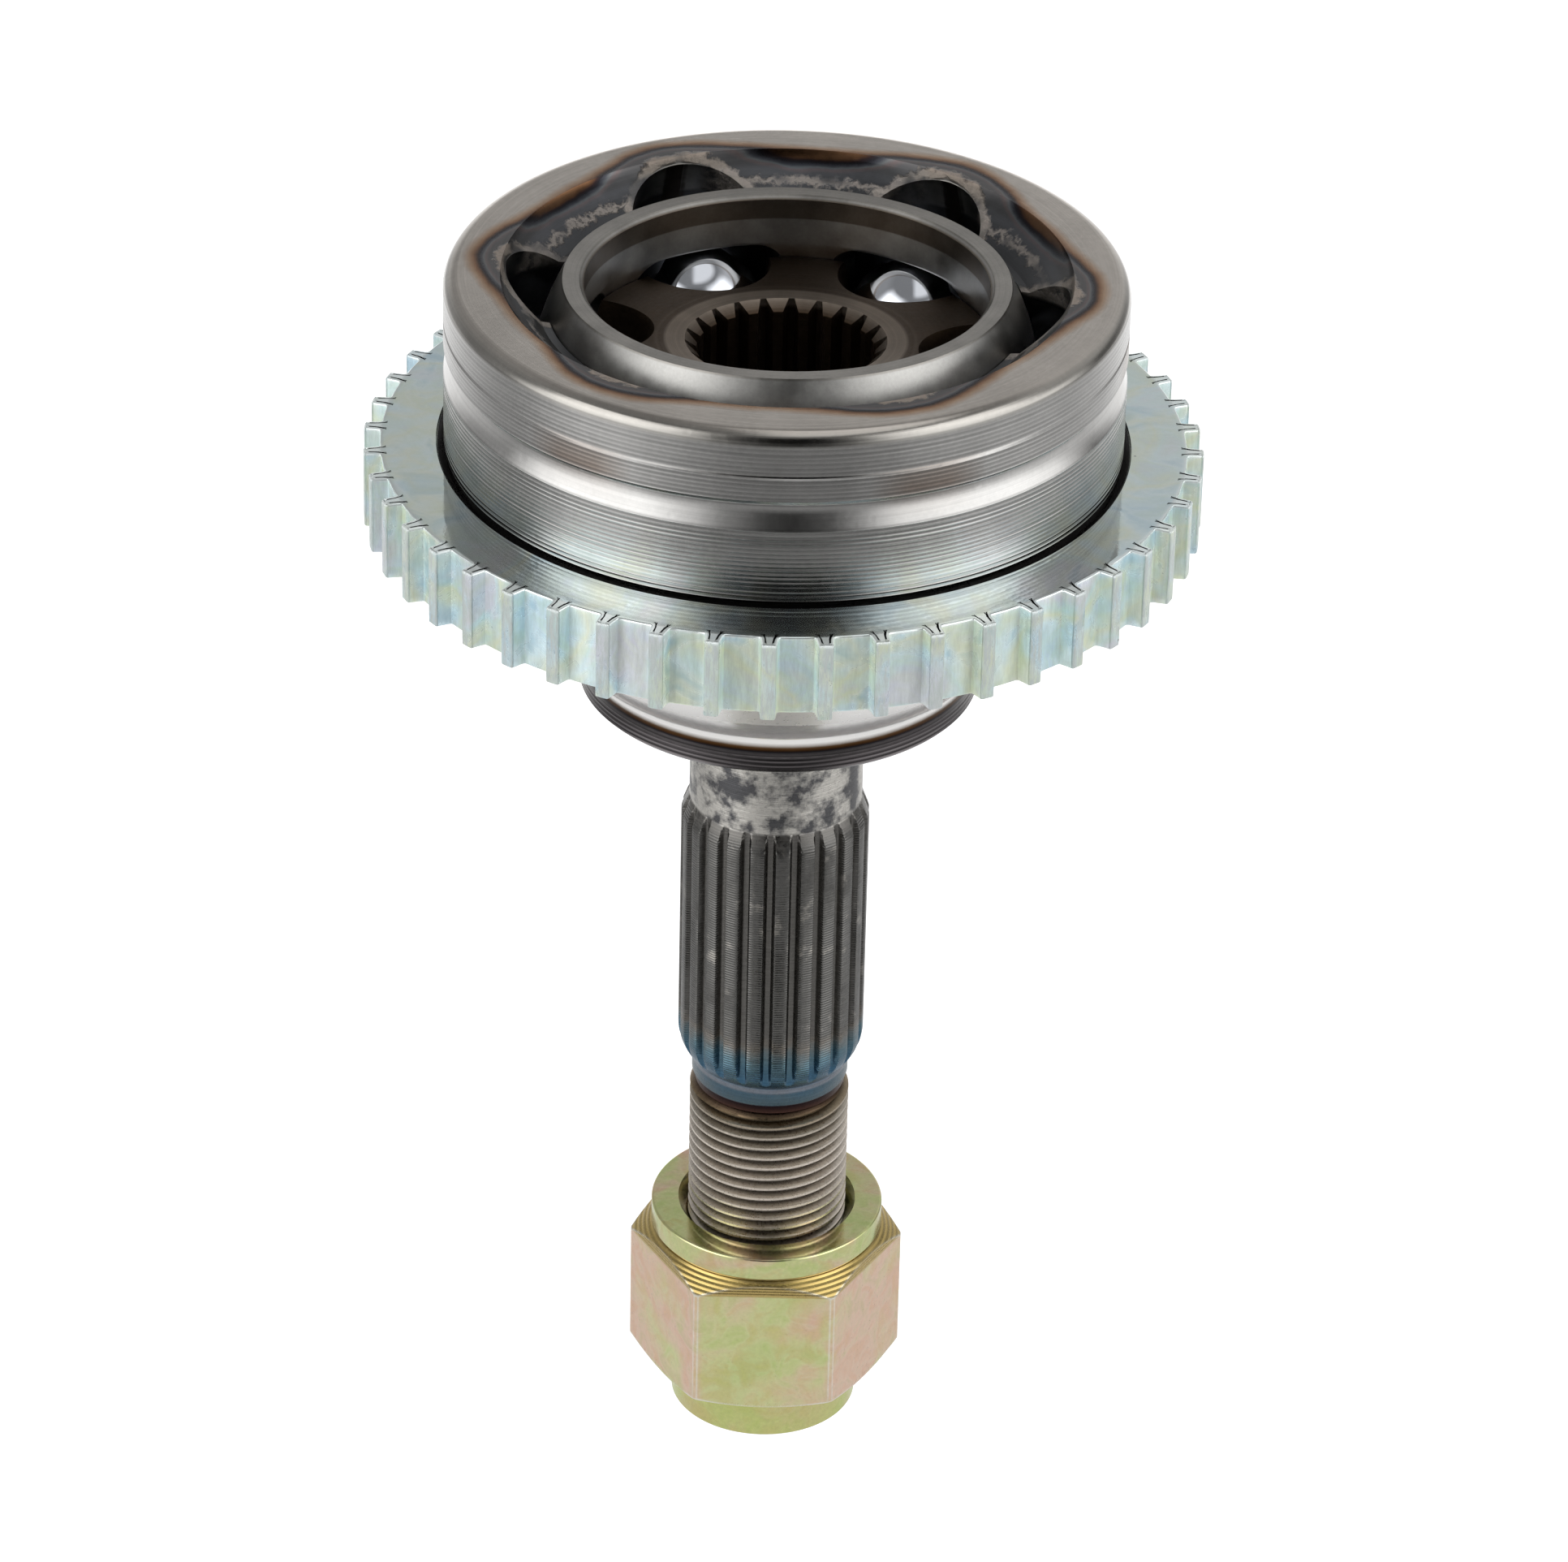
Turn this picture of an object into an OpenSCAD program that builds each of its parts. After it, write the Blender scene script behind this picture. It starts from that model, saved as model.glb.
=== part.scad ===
// Outboard constant velocity joint of the fixed, six-ball kind, loose, with its hub nut.
// The bell and its splined, threaded stub are one forging, and the toothed ring is pressed on it.
// Lengths are millimetres. The origin is the joint's centre, in the plane of the ball centres
// when the joint is straight. +Z runs up the bell's axis and out of its mouth.

/* [Pose at rest] */
// Tip of the inner race at rest, away from the front (-Y); the cage tips half as far
rest_tip = 3.2; // [0:0.1:8]

/* [Balls and tracks] */
// Diameter of each ball
ball_d = 16; // [15:0.25:16.5]
// Radius of the circle through the ball centres
pitch_r = 27; // [26.5:0.25:27.5]
// Height of the bell's track centre above the joint's centre, and depth of the inner race's below it
track_offset = 3.5; // [3:0.25:4]
// Gap between a ball and its track in the bell
track_gap = 0.12; // [0.08:0.01:0.2]
// Gap between a ball and its track in the inner race
race_track_gap = 0.2; // [0.18:0.01:0.3]
// Angle of the first track round the axis
first_track_angle = 54.5; // [40:0.5:59.5]

/* [Cage] */
// Diameter of the cage's outer sphere
cage_d = 60.8; // [60:0.2:62]
// Thickness of the cage's wall at the windows
cage_wall = 4.85; // [4:0.05:5.5]
// Height of the cage's end above the joint's centre on the mouth side
cage_top = 14.9; // [14:0.1:16]
// Depth of the cage's other end below the joint's centre
cage_depth = 14; // [12:0.5:15]
// How far the bore at the cage's mouth end lies inside its outer sphere
cage_lip = 6.4; // [6:0.1:7]
// How far the bore at the cage's inner end lies inside its outer sphere
cage_rear_lip = 8.4; // [6.8:0.1:9.4]
// Flat chamfer round the cage's mouth end
cage_chamfer = 0.5; // [0.2:0.1:0.8]
// Gap above and below a ball in its window
window_gap = 0.4; // [0.3:0.05:0.6]
// Length of a window beyond the ball's diameter
window_play = 4.2; // [3:0.2:5]
// Radius in the corners of a window
window_corner = 4; // [2:0.5:6]

/* [Inner race] */
// Height of the inner race's top face above its centre
race_top = 7.2; // [6:0.1:9]
// Depth of the inner race's bottom face below its centre
race_depth = 12.5; // [10:0.5:13]
// Teeth of the drive shaft spline
socket_teeth = 22; // [18:1:28]
// Angle of the first tooth in the socket round the axis
first_socket_angle = 95.5; // [82:0.5:98]
// Diameter across the roots of the socket spline
socket_major_d = 24; // [23:0.1:25]
// Diameter across the tips of the socket spline
socket_minor_d = 21.2; // [20.6:0.1:21.8]
// Part of the pitch that a socket tooth takes up at its tip
socket_tip_share = 0.38; // [0.3:0.01:0.45]
// Part of the pitch that a socket tooth takes up at its foot
socket_foot_share = 0.84; // [0.6:0.01:0.9]
// Height of the lead-in cone on the socket's teeth at each end
socket_lead = 1.2; // [0.6:0.1:2]
// Gap at the spheres between inner race, cage and bell
sphere_gap = 0.15; // [0.08:0.01:0.25]

/* [Bell] */
// Outside diameter of the bell
bell_d = 81; // [79:0.5:84]
// Height of the mouth's face above the joint's centre
bell_face = 16; // [15:0.1:17]
// Rounding of the bell's outer rim
rim_round = 1.8; // [0.6:0.1:2.4]
// Diameter of the mouth at its face
mouth_d = 67.6; // [66.6:0.2:69]
// Height of the steep edge just inside the mouth
mouth_edge_h = 0.9; // [0.4:0.1:1.4]
// How far the steep edge leans inwards
mouth_edge_lean = 0.4; // [0.2:0.1:0.8]
// Height above the joint's centre of the lip that ends the mouth's cone
lip_height = 11.6; // [10.8:0.1:12.4]
// Width of the lip between the cone and the cage's sphere
lip_w = 0.95; // [0.5:0.05:1.4]
// Depth of the cup's floor below the joint's centre
cup_depth = 26; // [25.5:0.5:27]
// How far below its middle a track runs before it ends, in degrees of its own arc
track_run_angle = 26; // [25:0.5:30]

/* [Bell grooves] */
// Drop from the face to the middle of the thin marking groove
line_drop = 5.6; // [5:0.05:6.2]
// Width of the thin marking groove
line_w = 0.5; // [0.3:0.1:0.8]
// Drop from the face to the boot groove's upper lip
groove_drop = 8.6; // [8:0.1:9.5]
// Height of the boot groove, from its lip to where it runs out
groove_h = 3.9; // [3:0.1:5]
// Depth of the boot groove
groove_depth = 0.7; // [0.3:0.1:1.2]

/* [Toothed ring] */
// Teeth round the ring
ring_teeth = 48; // [40:1:56]
// Thickness of the ring from its bore to the tips of the teeth
ring_wall = 9.85; // [8.8:0.05:11]
// Height of a tooth
tooth_h = 2; // [1.5:0.1:3]
// Width of a tooth at its tip
tooth_tip_w = 1.75; // [1.4:0.05:2.2]
// Width of a tooth at its foot
tooth_foot_w = 2.1; // [1.8:0.05:2.8]
// Bevel along the edges of a tooth's tip
tooth_bevel = 0.25; // [0.1:0.05:0.4]
// Angle of the first tooth round the axis
first_tooth_angle = -91.3; // [-95:0.1:-87]
// Thickness of the ring
ring_h = 9.9; // [8:0.1:11]
// Drop from the bell's face to the ring's upper side
ring_drop = 21.9; // [21:0.1:23]
// Chamfer round the ring's bore
ring_chamfer = 1.2; // [0.6:0.1:1.6]
// Step from the bell's outside down to the ring's seat
seat_step = 0.3; // [0.2:0.05:0.6]

/* [Shoulder] */
// Drop from the bell's face to the shoulder that seats on the wheel hub
shoulder_drop = 54; // [52.5:0.5:56]
// Diameter of the shoulder
shoulder_d = 48.4; // [46:0.2:50]
// Height of the straight band above the shoulder
band_h = 2.9; // [2:0.1:4]
// Height that the fillet between the bell's cone and the band takes up
bowl_fillet_h = 1.5; // [0.5:0.1:3]
// Chamfer at the shoulder's edge
shoulder_chamfer = 0.4; // [0.2:0.1:0.8]

/* [Stub] */
// Diameter of the plain neck under the shoulder
neck_d = 21.2; // [20.5:0.1:21.6]
// Length of the neck
neck_l = 16.75; // [14:0.05:18]
// Fillet between neck and shoulder
neck_fillet = 1.5; // [0.5:0.1:2.5]
// Teeth of the wheel hub spline
spline_teeth = 23; // [20:1:28]
// Diameter across the tips of the wheel hub spline
spline_major_d = 23.1; // [22.7:0.1:23.5]
// Length of the wheel hub spline, with its tapered ends
spline_l = 37.3; // [34:0.1:44]
// Length of the taper at the upper end of the spline
spline_lead = 2.4; // [2:0.1:5]
// Length of the rounding at the lower end of the spline
spline_round = 4.2; // [3:0.1:5.5]
// Angle of the first tooth of the wheel hub spline
first_spline_angle = 9.3; // [0:0.1:15.6]
// Width of a spline tooth at its tip
spline_tip_w = 1.75; // [1.5:0.05:2]
// Width of a spline tooth at its foot
spline_foot_w = 2.1; // [1.9:0.05:2.3]
// Diameter of the smooth collar under the spline
pilot_d = 19.5; // [19.2:0.05:19.9]
// Height of the smooth collar under the spline
pilot_h = 2.65; // [1:0.05:3.5]
// Diameter of the relief groove above the thread
relief_d = 18.7; // [18:0.1:19]
// Height of the relief groove
relief_h = 1.15; // [0.8:0.1:2]
// Diameter across the thread's crests
thread_d = 19.95; // [19.7:0.05:20]
// Length of the thread
thread_l = 36.85; // [30:0.05:44]
// Chamfer at the stub's end
end_chamfer = 1; // [0.5:0.1:1.5]
// Diameter of the centre hole in the stub's end
centre_hole_d = 6; // [4:0.5:8]

/* [Hub nut] */
// Length of bare thread above the nut
nut_drop = 18.55; // [10:0.05:20]
// Width across the flats of the hexagon
nut_af = 30; // [29:0.5:32]
// Diameter across the hexagon's rounded corners
nut_corner_d = 34.3; // [33.4:0.1:34.5]
// Height of the whole nut
nut_h = 29; // [25:0.1:30]
// Diameter of the upper collar
collar_d = 29.2; // [28.2:0.1:29.6]
// Rounding of the upper collar's edge
collar_round = 0.3; // [0.1:0.1:0.6]
// Height of the upper collar
collar_h = 2.9; // [2:0.1:4]
// Height of the groove under the upper collar
nut_groove_h = 0.4; // [0.2:0.1:0.8]
// Depth of the groove under the upper collar
nut_groove_depth = 0.3; // [0.2:0.1:1]
// Height of the lower, staking collar
stake_h = 6.5; // [4:0.1:8]
// Outside diameter of the staking collar
stake_d = 23.5; // [22.8:0.1:25]
// Rounding of the staking collar's edge
stake_round = 0.4; // [0.2:0.1:1]
// Drop of the hexagon's upper corners below its flats' upper side
nut_corner_drop = 2.1; // [1:0.1:3]
// Rise of the hexagon's lower corners
nut_corner_rise = 1.2; // [0.5:0.1:2]
// Diameter of the countersink in the upper collar
sink_d = 22.4; // [21.4:0.1:23]
// Gap between the nut's bore and the thread's crests
nut_gap = 0.05; // [0.02:0.01:0.08]

/* [Hidden] */
$fn = 96;
over = 1;
lap = 0.5;
ball_count = 6;
ball_pitch = 360 / ball_count;
ball_r = ball_d / 2;
arc_r = norm([pitch_r, track_offset]);
arc_dip_angle = atan(track_offset / pitch_r);
track_reach_angle = 60;
cage_r = cage_d / 2;
cage_in_r = cage_r - cage_wall;
cage_bore_r = cage_r - cage_lip;
cage_rear_r = cage_r - cage_rear_lip;
bell_in_r = cage_r + sphere_gap;
race_r = cage_in_r - sphere_gap;
bell_r = bell_d / 2;
seat_r = bell_r - seat_step;
ring_r = seat_r + ring_wall;
ring_root_r = ring_r - tooth_h;
ring_top = bell_face - ring_drop;
ring_low = ring_top - ring_h;
seat_chamfer = 0.8;
land_gap = 0.4;
shoulder = bell_face - shoulder_drop;
shoulder_r = shoulder_d / 2;
neck_r = neck_d / 2;
neck_low = shoulder - neck_l;
spline_r = spline_major_d / 2;
spline_low = neck_low - spline_l;
pilot_r = pilot_d / 2;
pilot_low = spline_low - pilot_h;
relief_r = relief_d / 2;
thread_top = pilot_low - relief_h;
thread_r = thread_d / 2;
stub_end = thread_top - thread_l;
nut_top = thread_top - nut_drop;
nut_low = nut_top - nut_h;
hex_top = nut_top - collar_h - nut_groove_h;
hex_low = nut_low + stake_h;
collar_r = collar_d / 2;
nut_bore_r = thread_r + nut_gap;
hex_corner_r = nut_af / 2 / cos(30);
nut_corner_r = nut_corner_d / 2;
mouth_r = mouth_d / 2;
lip_r = sqrt(bell_in_r ^ 2 - lip_height ^ 2) + lip_w;
socket_major_r = socket_major_d / 2;
socket_minor_r = socket_minor_d / 2;
steel = "#77787a";
zinc = "#b9c6c4";
yellow_zinc = "#b9b184";

// Angle of a track round the axis
function track_angle(i) = first_track_angle + (i - 1) * ball_pitch;

// How far a ball lies along its track at rest, in degrees of the track's arc
function ball_turn(i) = -rest_tip / 2 * sin(track_angle(i));

// Direction of a vector
function unit(v) = v / norm(v);

// Points of the arc that rounds corner b between a and c and starts and ends at a distance of reach from b
function corner(a, b, c, reach, n = 8) =
    let (u = unit(a - b), w = unit(c - b), half = acos(u * w) / 2)
    let (r = reach * tan(half), mid = b + unit(u + w) * reach / cos(half), p = b + u * reach - mid)
    let (from = atan2(p.y, p.x), turn = sign(cross(w, u)) * (180 - 2 * half))
    [for (k = [0:n]) mid + r * [cos(from + turn * k / n), sin(from + turn * k / n)]];

// Places a child on a track: at the ball's place, turned along the arc
module on_track(i, turn, offset) {
    rotate([0, 0, track_angle(i)])
        translate([0, 0, offset])
            rotate([0, -turn, 0])
                translate([pitch_r, 0, -offset])
                    children();
}

// The tube of radius r along one track, from angle low to angle high of the arc
module track_tube(i, offset, r, low, high) {
    rotate([0, 0, track_angle(i)])
        translate([0, 0, offset])
            rotate([90, 0, 0])
                rotate([0, 0, low])
                    rotate_extrude(angle = high - low)
                        translate([arc_r, 0])
                            circle(r = r);
}

// A ring of equal trapezoid teeth in the plane, from radius foot_r to tip_r
module teeth_2d(count, foot_r, tip_r, foot_w, tip_w, first = 0) {
    for (k = [0:count - 1])
        rotate(first + k * 360 / count)
            polygon([[foot_r - lap, -foot_w / 2], [foot_r, -foot_w / 2], [tip_r, -tip_w / 2],
                [tip_r, tip_w / 2], [foot_r, foot_w / 2], [foot_r - lap, foot_w / 2]]);
}

// Outline of the bell and stub from the mouth's face down to the stub's end, beside the axis
module bell_outline() {
    rim = [bell_r, bell_face];
    line_z = bell_face - line_drop;
    lip_z = bell_face - groove_drop;
    land_low = ring_top + land_gap;
    cone_foot = [shoulder_r, shoulder + band_h + bowl_fillet_h];
    polygon(concat(
        [[0, bell_face]],
        corner([0, bell_face], rim, [bell_r, 0], rim_round),
        [[bell_r, line_z + line_w / 2], [bell_r - line_w / 2, line_z], [bell_r, line_z - line_w / 2]],
        [[bell_r, lip_z], [bell_r - groove_depth, lip_z - groove_depth]],
        [[bell_r - groove_depth, lip_z - groove_h / 3], [bell_r, lip_z - groove_h]],
        [[bell_r, land_low], [seat_r - land_gap, land_low - land_gap]],
        [[seat_r - land_gap, ring_top - ring_chamfer], [seat_r, ring_top - ring_chamfer - land_gap]],
        [[seat_r, ring_low + seat_chamfer], [seat_r - seat_chamfer, ring_low]],
        corner([seat_r - seat_chamfer, ring_low], cone_foot, [shoulder_r, shoulder], bowl_fillet_h),
        [[shoulder_r, shoulder + shoulder_chamfer], [shoulder_r - shoulder_chamfer, shoulder]],
        corner([shoulder_r, shoulder], [neck_r, shoulder], [neck_r, neck_low], neck_fillet),
        [[neck_r, spline_low + over], [pilot_r, spline_low], [pilot_r, pilot_low]],
        [[relief_r, pilot_low], [relief_r, thread_top], [thread_r, thread_top - (thread_r - relief_r)]],
        [[thread_r, stub_end + end_chamfer], [thread_r - end_chamfer, stub_end], [0, stub_end]]
    ));
}

// Room inside the bell: the sphere that the cage turns in, cut off by the cup's floor, and the mouth
module cup() {
    rotate_extrude()
        intersection() {
            circle(r = bell_in_r);
            translate([0, -cup_depth])
                square([bell_d, bell_d]);
        }
    rotate_extrude()
        polygon([[0, lip_height], [lip_r, lip_height], [mouth_r - mouth_edge_lean, bell_face - mouth_edge_h],
            [mouth_r, bell_face], [mouth_r, bell_face + over], [0, bell_face + over]]);
}

// The six ball tracks of the bell, open at the mouth and round at their inner ends
module bell_tracks() {
    for (i = [1:ball_count]) {
        track_tube(i, track_offset, ball_r + track_gap, -arc_dip_angle - track_run_angle, track_reach_angle);
        on_track(i, -track_run_angle, track_offset)
            sphere(r = ball_r + track_gap);
    }
}

// The wheel hub spline, tapered at its upper end and rounded at its lower end
module hub_spline() {
    round_r = (spline_round ^ 2 + (spline_r - pilot_r) ^ 2) / (2 * (spline_r - pilot_r));
    round_z = spline_low + spline_round;
    round_turn = asin(spline_round / round_r);
    steps = 8;
    intersection() {
        translate([0, 0, spline_low])
            linear_extrude(spline_l)
                union() {
                    circle(r = neck_r);
                    teeth_2d(spline_teeth, neck_r, spline_r + lap / 10, spline_foot_w, spline_tip_w,
                        first_spline_angle);
                }
        rotate_extrude()
            polygon(concat(
                [[0, neck_low], [neck_r, neck_low], [spline_r, neck_low - spline_lead]],
                [for (k = [0:steps]) [spline_r - round_r * (1 - cos(round_turn * k / steps)),
                    round_z - round_r * sin(round_turn * k / steps)]],
                [[0, spline_low]]
            ));
    }
}

// Bell, tracks and stub: one forging
module outer_race() {
    color(steel)
        difference() {
            union() {
                rotate_extrude()
                    bell_outline();
                hub_spline();
            }
            cup();
            bell_tracks();
            translate([0, 0, stub_end - over / 10])
                cylinder(h = centre_hole_d, d1 = centre_hole_d, d2 = centre_hole_d / 4);
        }
}

// Toothed ring, pressed on the bell's seat from below
module abs_tone_ring() {
    bevel_r = ring_r - tooth_bevel;
    color(zinc)
        difference() {
            translate([0, 0, ring_low])
                linear_extrude(ring_h)
                    difference() {
                        union() {
                            circle(r = ring_root_r);
                            teeth_2d(ring_teeth, ring_root_r, bevel_r, tooth_foot_w, tooth_tip_w,
                                first_tooth_angle);
                            teeth_2d(ring_teeth, bevel_r, ring_r, tooth_tip_w, tooth_tip_w - 2 * tooth_bevel,
                                first_tooth_angle);
                        }
                        circle(r = seat_r);
                    }
            translate([0, 0, ring_top - ring_chamfer])
                cylinder(h = ring_chamfer + over, r1 = seat_r, r2 = seat_r + ring_chamfer + over);
        }
}

// One cage window, cut outwards along +X
module window() {
    half_h = ball_r + window_gap - window_corner;
    half_l = ball_r + window_play / 2 - window_corner;
    rotate([90, 0, 90])
        linear_extrude(bell_d)
            union() {
                square([2 * half_l, 2 * (half_h + window_corner)], center = true);
                square([2 * (half_l + window_corner), 2 * half_h], center = true);
                for (sx = [-1, 1], sz = [-1, 1])
                    translate([sx * half_l, sz * half_h])
                        circle(r = window_corner);
            }
}

// Ball cage: a spherical ring with six windows
module ball_cage() {
    color("#5b5c5d")
        rotate([-rest_tip / 2, 0, 0])
            difference() {
                rotate_extrude()
                    difference() {
                        intersection() {
                            circle(r = cage_r);
                            translate([0, -cage_depth])
                                square([cage_r, cage_depth + cage_top]);
                        }
                        circle(r = cage_in_r);
                        square([cage_bore_r, cage_d]);
                        translate([0, -cage_d])
                            square([cage_rear_r, cage_d]);
                        translate([0, cage_top - cage_chamfer])
                            polygon([[0, 0], [cage_bore_r, 0],
                                [cage_bore_r + cage_chamfer + over, cage_chamfer + over],
                                [0, cage_chamfer + over]]);
                    }
                for (i = [1:ball_count])
                    rotate([0, 0, track_angle(i)])
                        window();
            }
}

// Inner race: a sphere with six tracks outside and a splined socket inside
module inner_race() {
    color("#4d4741")
        rotate([-rest_tip, 0, 0])
            difference() {
                rotate_extrude()
                    intersection() {
                        circle(r = race_r);
                        translate([0, -race_depth])
                            square([race_r, race_depth + race_top]);
                    }
                for (i = [1:ball_count])
                    track_tube(i, -track_offset, ball_r + race_track_gap,
                        -track_reach_angle, track_reach_angle);
                translate([0, 0, -race_depth - over])
                    linear_extrude(race_depth + race_top + 2 * over)
                        difference() {
                            circle(r = socket_major_r);
                            socket_teeth_2d();
                        }
                translate([0, 0, race_top - socket_lead])
                    cylinder(h = socket_lead + lap / 10, r1 = socket_minor_r, r2 = socket_major_r + lap / 10);
                translate([0, 0, -race_depth - lap / 10])
                    cylinder(h = socket_lead + lap / 10, r1 = socket_major_r + lap / 10, r2 = socket_minor_r);
            }
}

// Teeth of the socket, pointing inwards to the tip circle
module socket_teeth_2d() {
    tip_w = 2 * PI * socket_minor_r / socket_teeth * socket_tip_share;
    foot_w = 2 * PI * socket_major_r / socket_teeth * socket_foot_share;
    difference() {
        teeth_2d(socket_teeth, socket_minor_r, socket_major_r + lap / 10, tip_w, foot_w, first_socket_angle);
        circle(r = socket_minor_r);
    }
}

// One ball, at its place on the bell's track
module ball(i) {
    color("#c9ccd0")
        on_track(i, ball_turn(i), track_offset)
            sphere(r = ball_r);
}

// Hub nut: hexagon with a plain collar above and a thin staking collar below
module hub_nut() {
    groove_z = nut_top - collar_h;
    color(yellow_zinc)
        difference() {
            union() {
                rotate_extrude()
                    polygon(concat(
                        corner([0, nut_top], [collar_r, nut_top], [collar_r, groove_z], collar_round),
                        [[collar_r, groove_z], [collar_r - nut_groove_depth, groove_z]],
                        [[collar_r - nut_groove_depth, hex_top], [stake_d / 2, hex_low + over]],
                        corner([stake_d / 2, hex_low], [stake_d / 2, nut_low], [0, nut_low], stake_round),
                        [[0, nut_low], [0, nut_top]]
                    ));
                intersection() {
                    translate([0, 0, hex_low])
                        cylinder(h = hex_top - hex_low, r = hex_corner_r, $fn = 6);
                    rotate_extrude()
                        polygon([[0, hex_top], [collar_r - nut_groove_depth, hex_top],
                            [nut_corner_r, hex_top - nut_corner_drop],
                            [nut_corner_r, hex_low + nut_corner_rise],
                            [nut_af / 2 - nut_corner_rise / 2, hex_low], [0, hex_low]]);
                }
            }
            translate([0, 0, nut_low - over])
                cylinder(h = nut_h + 2 * over, r = nut_bore_r);
            translate([0, 0, nut_top - (sink_d / 2 - nut_bore_r) * 1.6])
                cylinder(h = (sink_d / 2 - nut_bore_r) * 1.6, r1 = nut_bore_r, r2 = sink_d / 2);
        }
}

outer_race();
abs_tone_ring();
ball_cage();
inner_race();
ball(1);  // ball_1
ball(2);  // ball_2
ball(3);  // ball_3
ball(4);  // ball_4
ball(5);  // ball_5
ball(6);  // ball_6
hub_nut();
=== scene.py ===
"""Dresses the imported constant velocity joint: bell and stub, toothed ring, cage, race, balls and nut.

Lengths are in millimetres in the classes below and turned to metres where a mesh is made.
The joint's centre is the origin, +Z runs out of the bell's mouth and -Y is the front.
"""

import logging
import math
from collections.abc import Sequence
from dataclasses import dataclass
from enum import Enum
from typing import Any

import bmesh
import bpy
import numpy as np
from mathutils import Matrix, Vector


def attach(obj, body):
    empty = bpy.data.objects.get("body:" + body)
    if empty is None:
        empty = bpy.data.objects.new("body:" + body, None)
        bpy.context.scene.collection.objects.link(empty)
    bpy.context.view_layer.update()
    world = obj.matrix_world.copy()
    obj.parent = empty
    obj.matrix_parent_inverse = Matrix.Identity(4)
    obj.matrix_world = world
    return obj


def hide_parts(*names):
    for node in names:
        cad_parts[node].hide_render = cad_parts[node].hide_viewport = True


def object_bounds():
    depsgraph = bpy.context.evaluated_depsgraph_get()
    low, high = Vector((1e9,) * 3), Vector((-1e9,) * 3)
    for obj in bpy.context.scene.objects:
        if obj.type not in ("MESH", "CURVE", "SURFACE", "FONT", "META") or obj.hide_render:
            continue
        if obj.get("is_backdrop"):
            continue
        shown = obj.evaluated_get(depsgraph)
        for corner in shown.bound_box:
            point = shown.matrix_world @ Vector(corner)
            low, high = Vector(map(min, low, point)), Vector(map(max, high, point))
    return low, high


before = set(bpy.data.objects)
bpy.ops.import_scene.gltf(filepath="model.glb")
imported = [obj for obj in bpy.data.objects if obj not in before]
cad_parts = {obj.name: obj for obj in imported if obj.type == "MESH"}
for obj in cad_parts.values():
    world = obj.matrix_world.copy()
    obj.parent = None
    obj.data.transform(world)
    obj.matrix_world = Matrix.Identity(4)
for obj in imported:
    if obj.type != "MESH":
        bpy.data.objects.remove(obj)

LOG = logging.getLogger("joint")
MM = 0.001
TAU = 2 * math.pi
# Points closer than these, in metres, are one: on a grid's seams and between a CAD solid's loose triangles
SEAM = 1e-7
CAD_SEAM = 2e-6


class Slot(Enum):
    """The record's material slots."""

    FORGED = "forged_steel"
    RING = "ring_zinc"
    CAGE = "cage_steel"
    RACE = "race_steel"
    BALL = "ball_chrome"
    NUT = "nut_zinc"


class Body(Enum):
    """The bodies that carry the dressed pieces."""

    BELL = "outer_race"
    CAGE = "ball_cage"
    RACE = "inner_race"
    NUT = "hub_nut"


def linear(code: str) -> tuple[float, float, float, float]:
    """Turns an sRGB hex colour to linear light.

    Args:
        code: a colour such as "#8f8b85".

    Returns:
        Linear red, green, blue and an alpha of 1.
    """
    parts = [int(code[k:k + 2], 16) / 255 for k in (1, 3, 5)]
    light = [c / 12.92 if c <= 0.04045 else ((c + 0.055) / 1.055) ** 2.4 for c in parts]
    return (light[0], light[1], light[2], 1.0)


def add(tree: bpy.types.NodeTree, kind: str, inputs: dict | None = None,
        stops: Sequence[tuple[float, str]] = (), **settings: Any) -> bpy.types.Node:
    """Adds a node with its settings and links.

    Args:
        tree: the node tree.
        kind: the node's type without its "ShaderNode" prefix.
        inputs: socket name or number to a value, or to the socket or node that feeds it.
        stops: places and hex colours of a colour ramp.
        **settings: the node's own properties.

    Returns:
        The new node.
    """
    node = tree.nodes.new("ShaderNode" + kind)
    for key, value in settings.items():
        setattr(node, key, value)
    for key, value in (inputs or {}).items():
        if isinstance(value, bpy.types.Node):
            value = value.outputs[0]
        if isinstance(value, bpy.types.NodeSocket):
            tree.links.new(value, node.inputs[key])
        elif isinstance(value, str):
            node.inputs[key].default_value = linear(value)
        else:
            node.inputs[key].default_value = value
    if stops:
        ramp = node.color_ramp
        while len(ramp.elements) > 1:
            ramp.elements.remove(ramp.elements[-1])
        ramp.elements[0].position = stops[0][0]
        ramp.elements[0].color = linear(stops[0][1])
        for place, code in stops[1:]:
            ramp.elements.new(place).color = linear(code)
    return node


def spread(low: float, high: float, *marks: tuple[float, str]) -> list[tuple[float, str]]:
    """Turns a ramp's marks, given as real sizes with hex colours, to places from 0 at low to 1 at high."""
    return [((size - low) / (high - low), code) for size, code in marks]


def coordinates(mesh: bpy.types.Mesh) -> np.ndarray:
    """A mesh's vertices as rows of x, y and z, in metres."""
    flat = np.empty(len(mesh.vertices) * 3)
    mesh.vertices.foreach_get("co", flat)
    return flat.reshape(-1, 3)


def welded(mesh: bpy.types.Mesh, distance: float) -> bmesh.types.BMesh:
    """A worked copy of a mesh in which points closer than the distance in metres are one."""
    work = bmesh.new()
    work.from_mesh(mesh)
    bmesh.ops.remove_doubles(work, verts=work.verts, dist=distance)
    return work


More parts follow.
